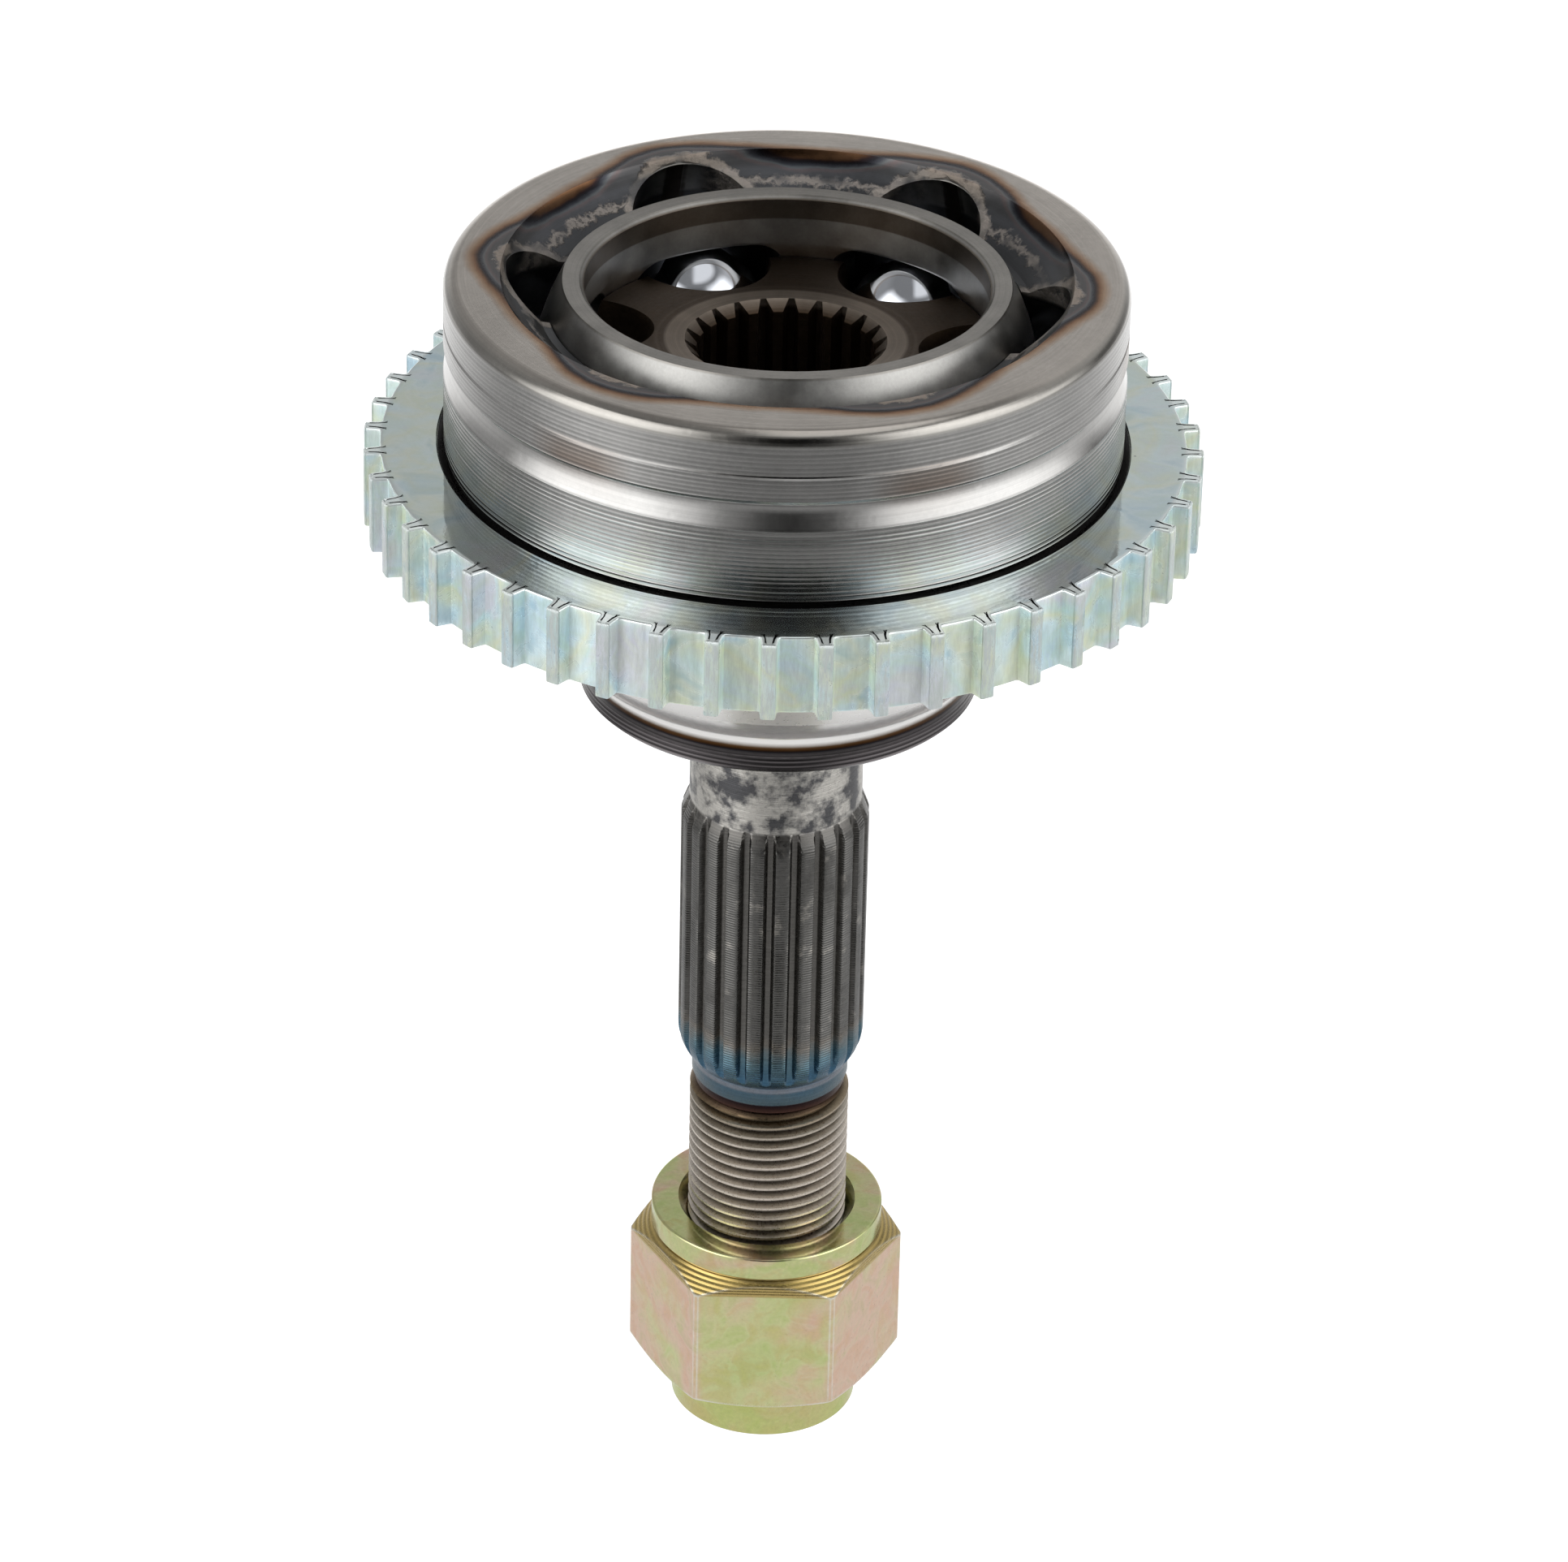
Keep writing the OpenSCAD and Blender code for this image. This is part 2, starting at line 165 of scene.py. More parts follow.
def smoothed(mesh: bpy.types.Mesh, work: bmesh.types.BMesh, sharp: float) -> bpy.types.Object:
    """Puts a worked copy back, smooths what is round and makes the object.

    Args:
        mesh: the mesh, whose name the object takes.
        work: its worked copy, which is freed.
        sharp: edges that turn by more than this many degrees stay sharp.

    Returns:
        The object, at the origin.
    """
    work.to_mesh(mesh)
    work.free()
    mesh.shade_smooth()
    mesh.set_sharp_from_angle(angle=math.radians(sharp))
    obj = bpy.data.objects.new(mesh.name, mesh)
    bpy.context.scene.collection.objects.link(obj)
    return obj


def grid_mesh(name: str, points: np.ndarray, wrap_rows: bool = False, sharp: float = 35.0) -> bpy.types.Object:
    """Makes a closed surface from a grid whose columns run round the axis.

    Row i, column j is vertex i * columns + j, and each quad takes (i, j), (i + 1, j), (i + 1, j + 1) and
    (i, j + 1), so that rows running down the outside give faces that point outwards.

    Args:
        name: the object's name.
        points: rows by columns by 3, in mm.
        wrap_rows: True joins the last row to the first, for a hollow piece.
        sharp: edges that turn by more than this many degrees stay sharp.

    Returns:
        The object, at the origin.
    """
    rows, cols = points.shape[:2]
    i = np.arange(rows if wrap_rows else rows - 1)[:, None]
    j = np.arange(cols)[None, :]
    down, over = (i + 1) % rows, (j + 1) % cols
    quads = np.stack([i * cols + j, down * cols + j, down * cols + over, i * cols + over], axis=-1)
    mesh = bpy.data.meshes.new(name)
    mesh.from_pydata((points.reshape(-1, 3) * MM).tolist(), [], quads.reshape(-1, 4).tolist())
    return smoothed(mesh, welded(mesh, SEAM), sharp)


def revolved(profile: Sequence[tuple[float, float]], columns: int) -> np.ndarray:
    """Turns a profile round the axis: x = r cos a, y = r sin a, z as given.

    Args:
        profile: (radius, height) pairs in mm, from the top down the outside.
        columns: how many steps round the axis.

    Returns:
        A grid of points, rows by columns by 3.
    """
    r, z = np.array(profile, float).T
    a = np.arange(columns) * TAU / columns
    height = np.repeat(z[:, None], columns, axis=1)
    return np.stack([np.outer(r, np.cos(a)), np.outer(r, np.sin(a)), height], axis=-1)


def arc(centre: tuple[float, float], radius: float, start: float, end: float,
        steps: int) -> list[tuple[float, float]]:
    """Points of a profile's arc, from start to end in degrees, measured from +r towards +z."""
    turn = np.radians(np.linspace(start, end, steps + 1))
    return [(centre[0] + radius * math.cos(t), centre[1] + radius * math.sin(t)) for t in turn]


def cad_copy(node: str, name: str, above: float = -1e9, sharp: float = 28.0) -> bpy.types.Object:
    """Copies a CAD solid's surface, merges its loose triangles and smooths what is round.

    Args:
        node: the CAD node.
        name: the copy's name.
        above: faces whose centre lies lower than this height in mm are left out.
        sharp: edges that turn by more than this many degrees stay sharp.

    Returns:
        The copy, at the origin.
    """
    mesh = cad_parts[node].data.copy()
    mesh.name = name
    mesh.materials.clear()
    if "custom_normal" in mesh.attributes:
        mesh.attributes.remove(mesh.attributes["custom_normal"])
    work = welded(mesh, CAD_SEAM)
    low = [f for f in work.faces if f.calc_center_median().z < above * MM]
    bmesh.ops.delete(work, geom=low, context="FACES")
    obj = smoothed(mesh, work, sharp)
    even = obj.modifiers.new("even flats", "WEIGHTED_NORMAL")
    even.keep_sharp = True
    return obj


def place(obj: bpy.types.Object, body: Body, slot: Slot, finish: bpy.types.Material,
          *nodes: str) -> bpy.types.Object:
    """Gives a piece its material, its body and the CAD nodes that it stands for."""
    obj.data.materials.clear()
    obj.data.materials.append(finish)
    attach(obj, body.value)
    if nodes:
        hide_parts(*nodes)
    LOG.info("%s: %d faces, %s", obj.name, len(obj.data.polygons), finish.name)
    return obj


def new_material(name: str) -> tuple[bpy.types.Material, bpy.types.NodeTree]:
    """An empty node material with its tree."""
    material = bpy.data.materials.new(name)
    material.use_nodes = True
    material.node_tree.nodes.clear()
    return material, material.node_tree


@dataclass(frozen=True)
class Place:
    """Where a shading point lies, in mm, as sockets: the point, its radius, height and turn round the axis.

    A noise texture's Scale is therefore in waves a mm: 0.25 makes patches about 4 mm wide.
    """

    point: Any
    radius: Any
    height: Any
    turn: Any

    @classmethod
    def of(cls, tree: bpy.types.NodeTree, tip: float = 0.0) -> "Place":
        """Builds the sockets.

        Args:
            tree: the material's tree.
            tip: degrees by which the piece is tipped about X at rest, undone here.

        Returns:
            The sockets.
        """
        raw = add(tree, "TexCoord").outputs["Object"]
        point = add(tree, "Mapping", {"Vector": raw, "Rotation": (math.radians(tip), 0, 0),
                                      "Scale": (1 / MM,) * 3})
        apart = add(tree, "SeparateXYZ", {0: point})
        flat = add(tree, "VectorMath", {0: point, 1: (1, 1, 0)}, operation="MULTIPLY")
        radius = add(tree, "VectorMath", {0: flat}, operation="LENGTH").outputs["Value"]
        turn = add(tree, "Math", {0: apart.outputs["Y"], 1: apart.outputs["X"]}, operation="ARCTAN2")
        return cls(point.outputs[0], radius, apart.outputs["Z"], turn.outputs[0])


@dataclass(frozen=True)
class TurnedForging:
    """Finish of the bell: turned steel, hardened and heat tinted round the ball tracks.

    The eye sees bright turned walls, a grey face with fine rings, a straw, brown and blue tint whose edge
    swings out round each track, and dull scale inside it with pale rough patches beside the tracks.
    """

    steel: str = "#a7a6a4"
    scale: str = "#434446"
    pale: str = "#b2a9a0"
    tracks: int = 6
    first_track: float = 54.5
    track_centre: float = 3.5
    track_arc: float = 27.23
    track_tube: float = 8.12
    tint_radius: float = 33.1
    tint_swing: float = 3.3
    cone_r: float = 33.85
    mouth_low: float = 10.8
    face_low: float = 14.2
    groove_r: float = 39.0
    land_r: float = 40.4
    pressed_top: float = -1.6
    pressed_low: float = -8.4
    bowl_top: float = -15.6
    bore_low: float = -29.0
    bowl_low: float = -34.5
    band_top: float = -35.4
    band_feed: float = 0.27

    def over_track(self, tree: bpy.types.NodeTree, at: Place) -> bpy.types.Node:
        """0 between the tracks and 1 over each: (0.5 + 0.5 cos(tracks * (turn - first_track))) ^ 1.5."""
        start = -math.radians(self.tracks * self.first_track)
        share = add(tree, "Math", {0: at.turn, 1: self.tracks, 2: start}, operation="MULTIPLY_ADD")
        share = add(tree, "Math", {0: share}, operation="COSINE")
        share = add(tree, "Math", {0: share, 1: 0.5, 2: 0.5}, operation="MULTIPLY_ADD")
        return add(tree, "Math", {0: share, 1: 1.5}, operation="POWER")

    def past_tint(self, tree: bpy.types.NodeTree, at: Place, share: bpy.types.Node,
                  soft: bpy.types.Node) -> bpy.types.Node:
        """How far a point lies outside the tint's edge, in mm.

        It is radius - (tint_radius + tint_swing * share), swayed by up to 0.8 mm, with 20 mm more below the
        bore, where there is no tint.

        Args:
            tree: the material's tree.
            at: where the point lies.
            share: how much it lies over a track.
            soft: broad noise that sways the edge.

        Returns:
            The distance.
        """
        edge = add(tree, "Math", {0: share, 1: self.tint_swing, 2: self.tint_radius}, operation="MULTIPLY_ADD")
        past = add(tree, "Math", {0: at.radius, 1: edge}, operation="SUBTRACT")
        sway = add(tree, "Math", {0: soft, 1: 1.6, 2: -0.8}, operation="MULTIPLY_ADD")
        below = add(tree, "MapRange", {"Value": at.height, 1: self.bore_low, 2: self.bore_low - 1,
                                       3: 0.0, 4: 20.0})
        for more in (sway, below):
            past = add(tree, "Math", {0: past, 1: more}, operation="ADD")
        return past

    def off_track(self, tree: bpy.types.NodeTree, at: Place) -> bpy.types.Node:
        """How far a point lies outside the tube that the nearest ball runs in, in mm.

        The turn is folded into the nearest track's sector, side = radius * sin(turn), reach =
        |(radius, height - track_centre)| - track_arc, and the distance is |(reach, side)| - track_tube.
        """
        sector = 360 / self.tracks
        turn = add(tree, "Math", {0: at.turn, 1: -math.radians(self.first_track - sector / 2)}, operation="ADD")
        turn = add(tree, "Math", {0: turn, 1: math.radians(sector), 2: 0.0}, operation="WRAP")
        turn = add(tree, "Math", {0: turn, 1: math.radians(sector / 2)}, operation="SUBTRACT")
        side = add(tree, "Math", {0: turn}, operation="SINE")
        side = add(tree, "Math", {0: side, 1: at.radius}, operation="MULTIPLY")
        up = add(tree, "Math", {0: at.height, 1: self.track_centre}, operation="SUBTRACT")
        reach = add(tree, "CombineXYZ", {0: at.radius, 1: up})
        reach = add(tree, "VectorMath", {0: reach}, operation="LENGTH").outputs["Value"]
        reach = add(tree, "Math", {0: reach, 1: self.track_arc}, operation="SUBTRACT")
        off = add(tree, "CombineXYZ", {0: reach, 1: side})
        off = add(tree, "VectorMath", {0: off}, operation="LENGTH").outputs["Value"]
        return add(tree, "Math", {0: off, 1: self.track_tube}, operation="SUBTRACT")

    def pale_patches(self, tree: bpy.types.NodeTree, at: Place, off: bpy.types.Node, past: bpy.types.Node,
                     ragged: bpy.types.Node) -> bpy.types.Node:
        """Where the scale has rough pale patches: beside the tracks and in a broken streak round the mouth.

        Args:
            tree: the material's tree.
            at: where the point lies.
            off: how far it lies outside the nearest track.
            past: how far it lies outside the tint's edge.
            ragged: fine noise that frays the patches.

        Returns:
            The patches' strength, 0 to 1.
        """
        shake = add(tree, "Math", {0: ragged, 1: 3.6, 2: -1.8}, operation="MULTIPLY_ADD")
        band = add(tree, "Math", {0: off, 1: shake}, operation="ADD")
        band = add(tree, "MapRange", {"Value": band, 1: -1.0, 2: 4.0})
        patch = add(tree, "ValToRGB", {0: band}, stops=spread(
            -1, 4, (-1, "#000000"), (-0.3, "#202020"), (0.35, "#b4b4b4"), (1.1, "#c4c4c4"), (1.7, "#000000")))
        streak = add(tree, "Math", {0: at.radius, 1: shake}, operation="ADD")
        streak = add(tree, "MapRange", {"Value": streak, 1: 29.0, 2: 34.0})
        streak = add(tree, "ValToRGB", {0: streak}, stops=spread(
            29, 34, (29, "#000000"), (30.4, "#000000"), (30.8, "#b0b0b0"), (31.1, "#b0b0b0"),
            (31.5, "#000000")))
        patch = add(tree, "Math", {0: patch, 1: streak}, operation="MAXIMUM")
        large = add(tree, "TexNoise", {"Vector": at.point, "Scale": 0.17, "Detail": 2.0})
        where = add(tree, "MapRange", {"Value": off, 1: 0.1, 2: 0.3})
        for mask in (add(tree, "MapRange", {"Value": past, 1: -0.8, 2: -1.6}),
                     add(tree, "MapRange", {"Value": at.height, 1: self.mouth_low, 2: self.mouth_low + 0.5}),
                     add(tree, "MapRange", {"Value": large, 1: 0.38, 2: 0.5, 3: 0.15, 4: 1.0})):
            where = add(tree, "Math", {0: where, 1: mask}, operation="MULTIPLY")
        return add(tree, "Math", {0: patch, 1: where}, operation="MULTIPLY")

    def coated(self, tree: bpy.types.NodeTree, at: Place, share: bpy.types.Node, past: bpy.types.Node,
               off: bpy.types.Node, patch: bpy.types.Node) -> bpy.types.NodeSocket:
        """The colour of tint, scale and steel, before tool lines and blotches.

        Args:
            tree: the material's tree.
            at: where the point lies.
            share: how much it lies over a track.
            past: how far it lies outside the tint's edge.
            off: how far it lies outside the nearest track.
            patch: the pale patches' strength.

        Returns:
            The colour.
        """
        tint = add(tree, "ValToRGB", {0: add(tree, "MapRange", {"Value": past, 1: -3.0, 2: 3.0})}, stops=spread(
            -3, 3, (-3, self.scale), (-1.2, "#4b4c4f"), (-0.84, "#5b5456"), (-0.63, "#5a5e62"),
            (-0.42, "#3d4047"), (-0.15, "#242429"), (0.03, "#292123"), (0.24, "#4c3729"), (0.6, "#7a5d46"),
            (1.08, "#968270"), (2.04, self.steel)))
        # The cone in the mouth is browned where the face beside it is already past the tint
        cone = add(tree, "MapRange", {"Value": at.radius, 1: self.cone_r, 2: self.cone_r - 0.15,
                                      3: 0.0, 4: 0.8})
        browned = add(tree, "MapRange", {"Value": past, 1: 0.1, 2: 0.7})
        cone = add(tree, "Math", {0: cone, 1: browned}, operation="MULTIPLY")
        # A rubbed line along each track's edge, and the brown ground track itself
        rim_line = add(tree, "MapRange", {"Value": off, 1: 0.0, 2: 0.22, 3: 0.75, 4: 0.0})
        upper = add(tree, "MapRange", {"Value": at.height, 1: self.mouth_low, 2: self.mouth_low + 0.5})
        rim_line = add(tree, "Math", {0: rim_line, 1: upper}, operation="MULTIPLY")
        in_track = add(tree, "MapRange", {"Value": off, 1: 0.0, 2: 0.02, 3: 1.0, 4: 0.0})
        in_bore = add(tree, "MapRange", {"Value": at.radius, 1: 36.0, 2: 35.6})
        in_track = add(tree, "Math", {0: in_track, 1: in_bore}, operation="MULTIPLY")
        # Brown smudges in the boot groove, where the wall is thin outside each track
        smudge = add(tree, "MapRange", {"Value": share, 1: 0.62, 2: 0.95, 3: 0.0, 4: 0.6})
        waist = add(tree, "MapRange", {"Value": at.height, 1: 2.0, 2: 12.0})
        waist = add(tree, "ValToRGB", {0: waist}, stops=spread(
            2, 12, (3.5, "#000000"), (5.5, "#707070"), (7, "#c0c0c0"), (8, "#ffffff"), (9.8, "#e0e0e0"),
            (11.2, "#000000")))
        outside = add(tree, "MapRange", {"Value": at.radius, 1: self.groove_r, 2: self.groove_r + 0.4})
        for mask in (waist, outside):
            smudge = add(tree, "Math", {0: smudge, 1: mask}, operation="MULTIPLY")
        colour = tint.outputs[0]
        for mask, coat in ((cone, "#4d3827"), (patch, self.pale), (rim_line, "#8b8a88"), (in_track, "#3c3835"),
                           (smudge, "#6b5340")):
            colour = add(tree, "Mix", {0: mask, 6: colour, 7: coat}, data_type="RGBA").outputs[2]
        return colour

    def make(self) -> bpy.types.Material:
        """Builds the material."""
        material, tree = new_material("turned, heat tinted steel")
        at = Place.of(tree)
        soft = add(tree, "TexNoise", {"Vector": at.point, "Scale": 0.11, "Detail": 4.0})
        fine = add(tree, "TexNoise", {"Vector": at.point, "Scale": 1.6, "Detail": 6.0, "Roughness": 0.65})
        ragged = add(tree, "TexNoise", {"Vector": at.point, "Scale": 0.6, "Detail": 7.0, "Roughness": 0.66})
        drift = add(tree, "VectorMath", {0: at.point, 1: (0.004, 0.003, 0)}, operation="DOT_PRODUCT")
        ring_space = add(tree, "CombineXYZ", {0: at.radius, 1: at.height, 2: drift.outputs["Value"]})
        rings = add(tree, "TexNoise", {"Vector": ring_space, "Scale": 3.2, "Detail": 5.0, "Roughness": 0.75})
        share = self.over_track(tree, at)
        past = self.past_tint(tree, at, share, soft)
        off = self.off_track(tree, at)
        patch = self.pale_patches(tree, at, off, past, ragged)
        colour = self.coated(tree, at, share, past, off, patch)
        # Tool lines, blotches and grain lighten and darken the steel a little, and the bottoms of the wall's
        # furrows are painted darker, as shade
        shade = add(tree, "MapRange", {"Value": rings, 1: 0.3, 2: 0.7, 3: 0.9, 4: 1.07})
        sunk = add(tree, "Attribute", {}, attribute_type="GEOMETRY", attribute_name="furrow").outputs["Fac"]
        for part in (add(tree, "Math", {0: sunk, 1: -0.46, 2: 1.19}, operation="MULTIPLY_ADD"),
                     add(tree, "MapRange", {"Value": soft, 1: 0.3, 2: 0.7, 3: 0.9, 4: 1.08}),
                     add(tree, "MapRange", {"Value": fine, 1: 0.3, 2: 0.7, 3: 0.95, 4: 1.04})):
            shade = add(tree, "Math", {0: shade, 1: part}, operation="MULTIPLY")
        colour = add(tree, "VectorMath", {0: colour, "Scale": shade}, operation="SCALE")
        # By height in mm: blue and straw lines over the shoulder's band, bluish steel below, painted shade
        # dimming the rim's highlight, a warmer face
        level = add(tree, "MapRange", {"Value": at.height, 1: -40.0, 2: 20.0})
        lines = add(tree, "ValToRGB", {0: level}, stops=spread(
            -40, 20, (-40, "#c2cfe2"), (-35.25, "#c2cfe2"), (-35.15, "#7a8698"), (-35.05, "#46506a"),
            (-34.92, "#7a6248"), (-34.7, "#c8965c"), (-34.3, "#dcc6a0"), (-33.6, "#ffffff"), (14.1, "#ffffff"),
            (14.6, "#dad8d4"), (15.5, "#dad7d2"), (15.95, "#fff8f1"), (20, "#fff8f1")))
        colour = add(tree, "Mix", {0: 1.0, 6: colour, 7: lines.outputs[0]}, data_type="RGBA",
                     blend_type="MULTIPLY")
        # The band's turned lines, one for each turn of the tool
        groove = add(tree, "Math", {0: at.height, 1: self.band_feed}, operation="PINGPONG")
        groove = add(tree, "MapRange", {"Value": groove, 1: 0.0, 2: 0.2, 3: 0.42, 4: 1.2})
        on_band = add(tree, "MapRange", {"Value": at.height, 1: self.band_top, 2: self.band_top - 0.2})
        groove = add(tree, "Mix", {0: on_band, 2: 1.0, 3: groove}, data_type="FLOAT")
        # The last few mm over the ring are burnished by pressing it on
        burnished = add(tree, "MapRange", {"Value": at.height, 1: self.pressed_top, 2: self.pressed_top - 1.6})
        over_seat = add(tree, "MapRange", {"Value": at.height, 1: self.pressed_low, 2: self.pressed_low + 0.4})
        burnished = add(tree, "Math", {0: burnished, 1: over_seat}, operation="MULTIPLY")
        brighter = add(tree, "Math", {0: burnished, 1: 0.06, 2: 1.0}, operation="MULTIPLY_ADD")
        colour = add(tree, "VectorMath", {0: colour.outputs[2], "Scale": groove.outputs[0]}, operation="SCALE")
        colour = add(tree, "VectorMath", {0: colour, "Scale": brighter}, operation="SCALE")
        # The bowl under the ring is painted near white and made a little less metallic, a painted light for the
        # bright floor it faces from below, and a little smoother
        bowl = add(tree, "MapRange", {"Value": at.height, 1: self.bowl_top, 2: self.bowl_top - 1.4})
        over_band = add(tree, "MapRange", {"Value": at.height, 1: self.bowl_low, 2: self.bowl_low + 0.8})
        bowl = add(tree, "Math", {0: bowl, 1: over_band}, operation="MULTIPLY")
        haze = add(tree, "Math", {0: bowl, 1: 0.9}, operation="MULTIPLY")
        colour = add(tree, "Mix", {0: haze, 6: colour, 7: "#fbfaf8"}, data_type="RGBA")
        metal = add(tree, "Math", {0: bowl, 1: -0.15, 2: 1.0}, operation="MULTIPLY_ADD")
        # Roughness: more on the scale and the patches, less on the lands, the bowl and the burnished ring
        rough = add(tree, "Math", {0: fine, 1: 0.14, 2: 0.17}, operation="MULTIPLY_ADD")
        scaled = add(tree, "MapRange", {"Value": past, 1: 0.0, 2: -0.8, 3: 0.0, 4: 0.12})
        rough = add(tree, "Math", {0: rough, 1: scaled}, operation="ADD")
        land = add(tree, "MapRange", {"Value": at.radius, 1: self.land_r + 0.06, 2: self.land_r})
        over_groove = add(tree, "MapRange", {"Value": at.radius, 1: self.groove_r - 0.3, 2: self.groove_r})
        land = add(tree, "Math", {0: land, 1: over_groove}, operation="MULTIPLY")
        for mask, more in ((land, -0.11), (patch, 0.3), (bowl, -0.07), (burnished, -0.13)):
            rough = add(tree, "Math", {0: mask, 1: more, 2: rough}, operation="MULTIPLY_ADD")
        # Bumps: turned rings on the face, small dents all over, and torn scale in the patches
        face = add(tree, "MapRange", {"Value": at.height, 1: self.face_low, 2: self.face_low + 1.4,
                                      3: 0.12, 4: 1.0})
        turned = add(tree, "Math", {0: rings, 1: face}, operation="MULTIPLY")
        bump = add(tree, "Bump", {"Height": turned, "Distance": 0.02 * MM, "Strength": 0.7})
        dents = add(tree, "VectorMath", {0: at.point, 1: (0.5, 0.5, 0.5)}, operation="MULTIPLY")
        dents = add(tree, "TexVoronoi", {"Vector": dents, "Scale": 0.8, "Randomness": 1.0}, feature="SMOOTH_F1")
        dent = add(tree, "MapRange", {"Value": dents.outputs["Distance"], 1: 0.05, 2: 0.22})
        torn = add(tree, "Math", {0: patch, 1: ragged}, operation="MULTIPLY")
        for height, depth, strength in ((dent, 0.05, 0.12), (torn, 0.5, 0.8)):
            bump = add(tree, "Bump", {"Height": height, "Distance": depth * MM, "Strength": strength,
                                      "Normal": bump})
        shader = add(tree, "BsdfPrincipled", {"Base Color": colour.outputs[2], "Metallic": metal,
                                              "Roughness": rough, "Normal": bump})
        add(tree, "OutputMaterial", {"Surface": shader})
        return material


@dataclass(frozen=True)
class GroundCage:
    """Finish of the cage: ground and phosphated steel, dull grey with a fine grain and a broad soft gleam."""

    ground: str = "#9f9e9b"
    bore: str = "#675f56"
    edge: str = "#85827d"
    tip: float = 1.6
    bore_r: float = 24.3
    edge_low: float = 14.6
    bore_top: float = 11.8

    def make(self) -> bpy.types.Material:
        """Builds the material."""
        material, tree = new_material("ground cage steel")
        at = Place.of(tree, self.tip)
        grain = add(tree, "TexNoise", {"Vector": at.point, "Scale": 2.6, "Detail": 6.0, "Roughness": 0.7})
        cloud = add(tree, "TexNoise", {"Vector": at.point, "Scale": 0.25, "Detail": 5.0, "Roughness": 0.6})
        ring_space = add(tree, "CombineXYZ", {0: at.radius, 1: at.height})
        rings = add(tree, "TexNoise", {"Vector": ring_space, "Scale": 4.0, "Detail": 4.0, "Roughness": 0.8})
        inside = add(tree, "MapRange", {"Value": at.radius, 1: self.bore_r, 2: self.bore_r - 0.25})
        top = add(tree, "MapRange", {"Value": at.height, 1: self.edge_low, 2: self.edge_low + 0.2})
        bore = add(tree, "MapRange", {"Value": at.height, 1: self.bore_top, 2: self.bore_top + 0.2})
        bore = add(tree, "Math", {0: bore, 1: inside}, operation="MULTIPLY")
        base = add(tree, "Mix", {0: bore, 6: self.ground, 7: self.bore}, data_type="RGBA")
        base = add(tree, "Mix", {0: top, 6: base.outputs[2], 7: self.edge}, data_type="RGBA")
        # Grain and haze everywhere, turned rings on the upper edge alone
        line = add(tree, "MapRange", {"Value": rings, 1: 0.3, 2: 0.7, 3: 0.85, 4: 1.1})
        line = add(tree, "Mix", {0: top, 2: 1.0, 3: line}, data_type="FLOAT")
        shade = add(tree, "MapRange", {"Value": grain, 1: 0.35, 2: 0.7, 3: 0.92, 4: 1.05})
        haze = add(tree, "MapRange", {"Value": cloud, 1: 0.3, 2: 0.7, 3: 0.82, 4: 1.12})
        for part in (haze, line.outputs[0]):
            shade = add(tree, "Math", {0: shade, 1: part}, operation="MULTIPLY")
        colour = add(tree, "VectorMath", {0: base.outputs[2], "Scale": shade}, operation="SCALE")
        rough = add(tree, "MapRange", {"Value": cloud, 1: 0.3, 2: 0.7, 3: 0.28, 4: 0.39})
        rough = add(tree, "Math", {0: inside, 1: 0.05, 2: rough}, operation="MULTIPLY_ADD")
        turned = add(tree, "Math", {0: rings, 1: top}, operation="MULTIPLY")
        bump = add(tree, "Bump", {"Height": turned, "Distance": 0.01 * MM, "Strength": 0.6})
        shader = add(tree, "BsdfPrincipled", {"Base Color": colour, "Metallic": 1.0, "Roughness": rough,
                                              "Normal": bump})
        add(tree, "OutputMaterial", {"Surface": shader})
        return material


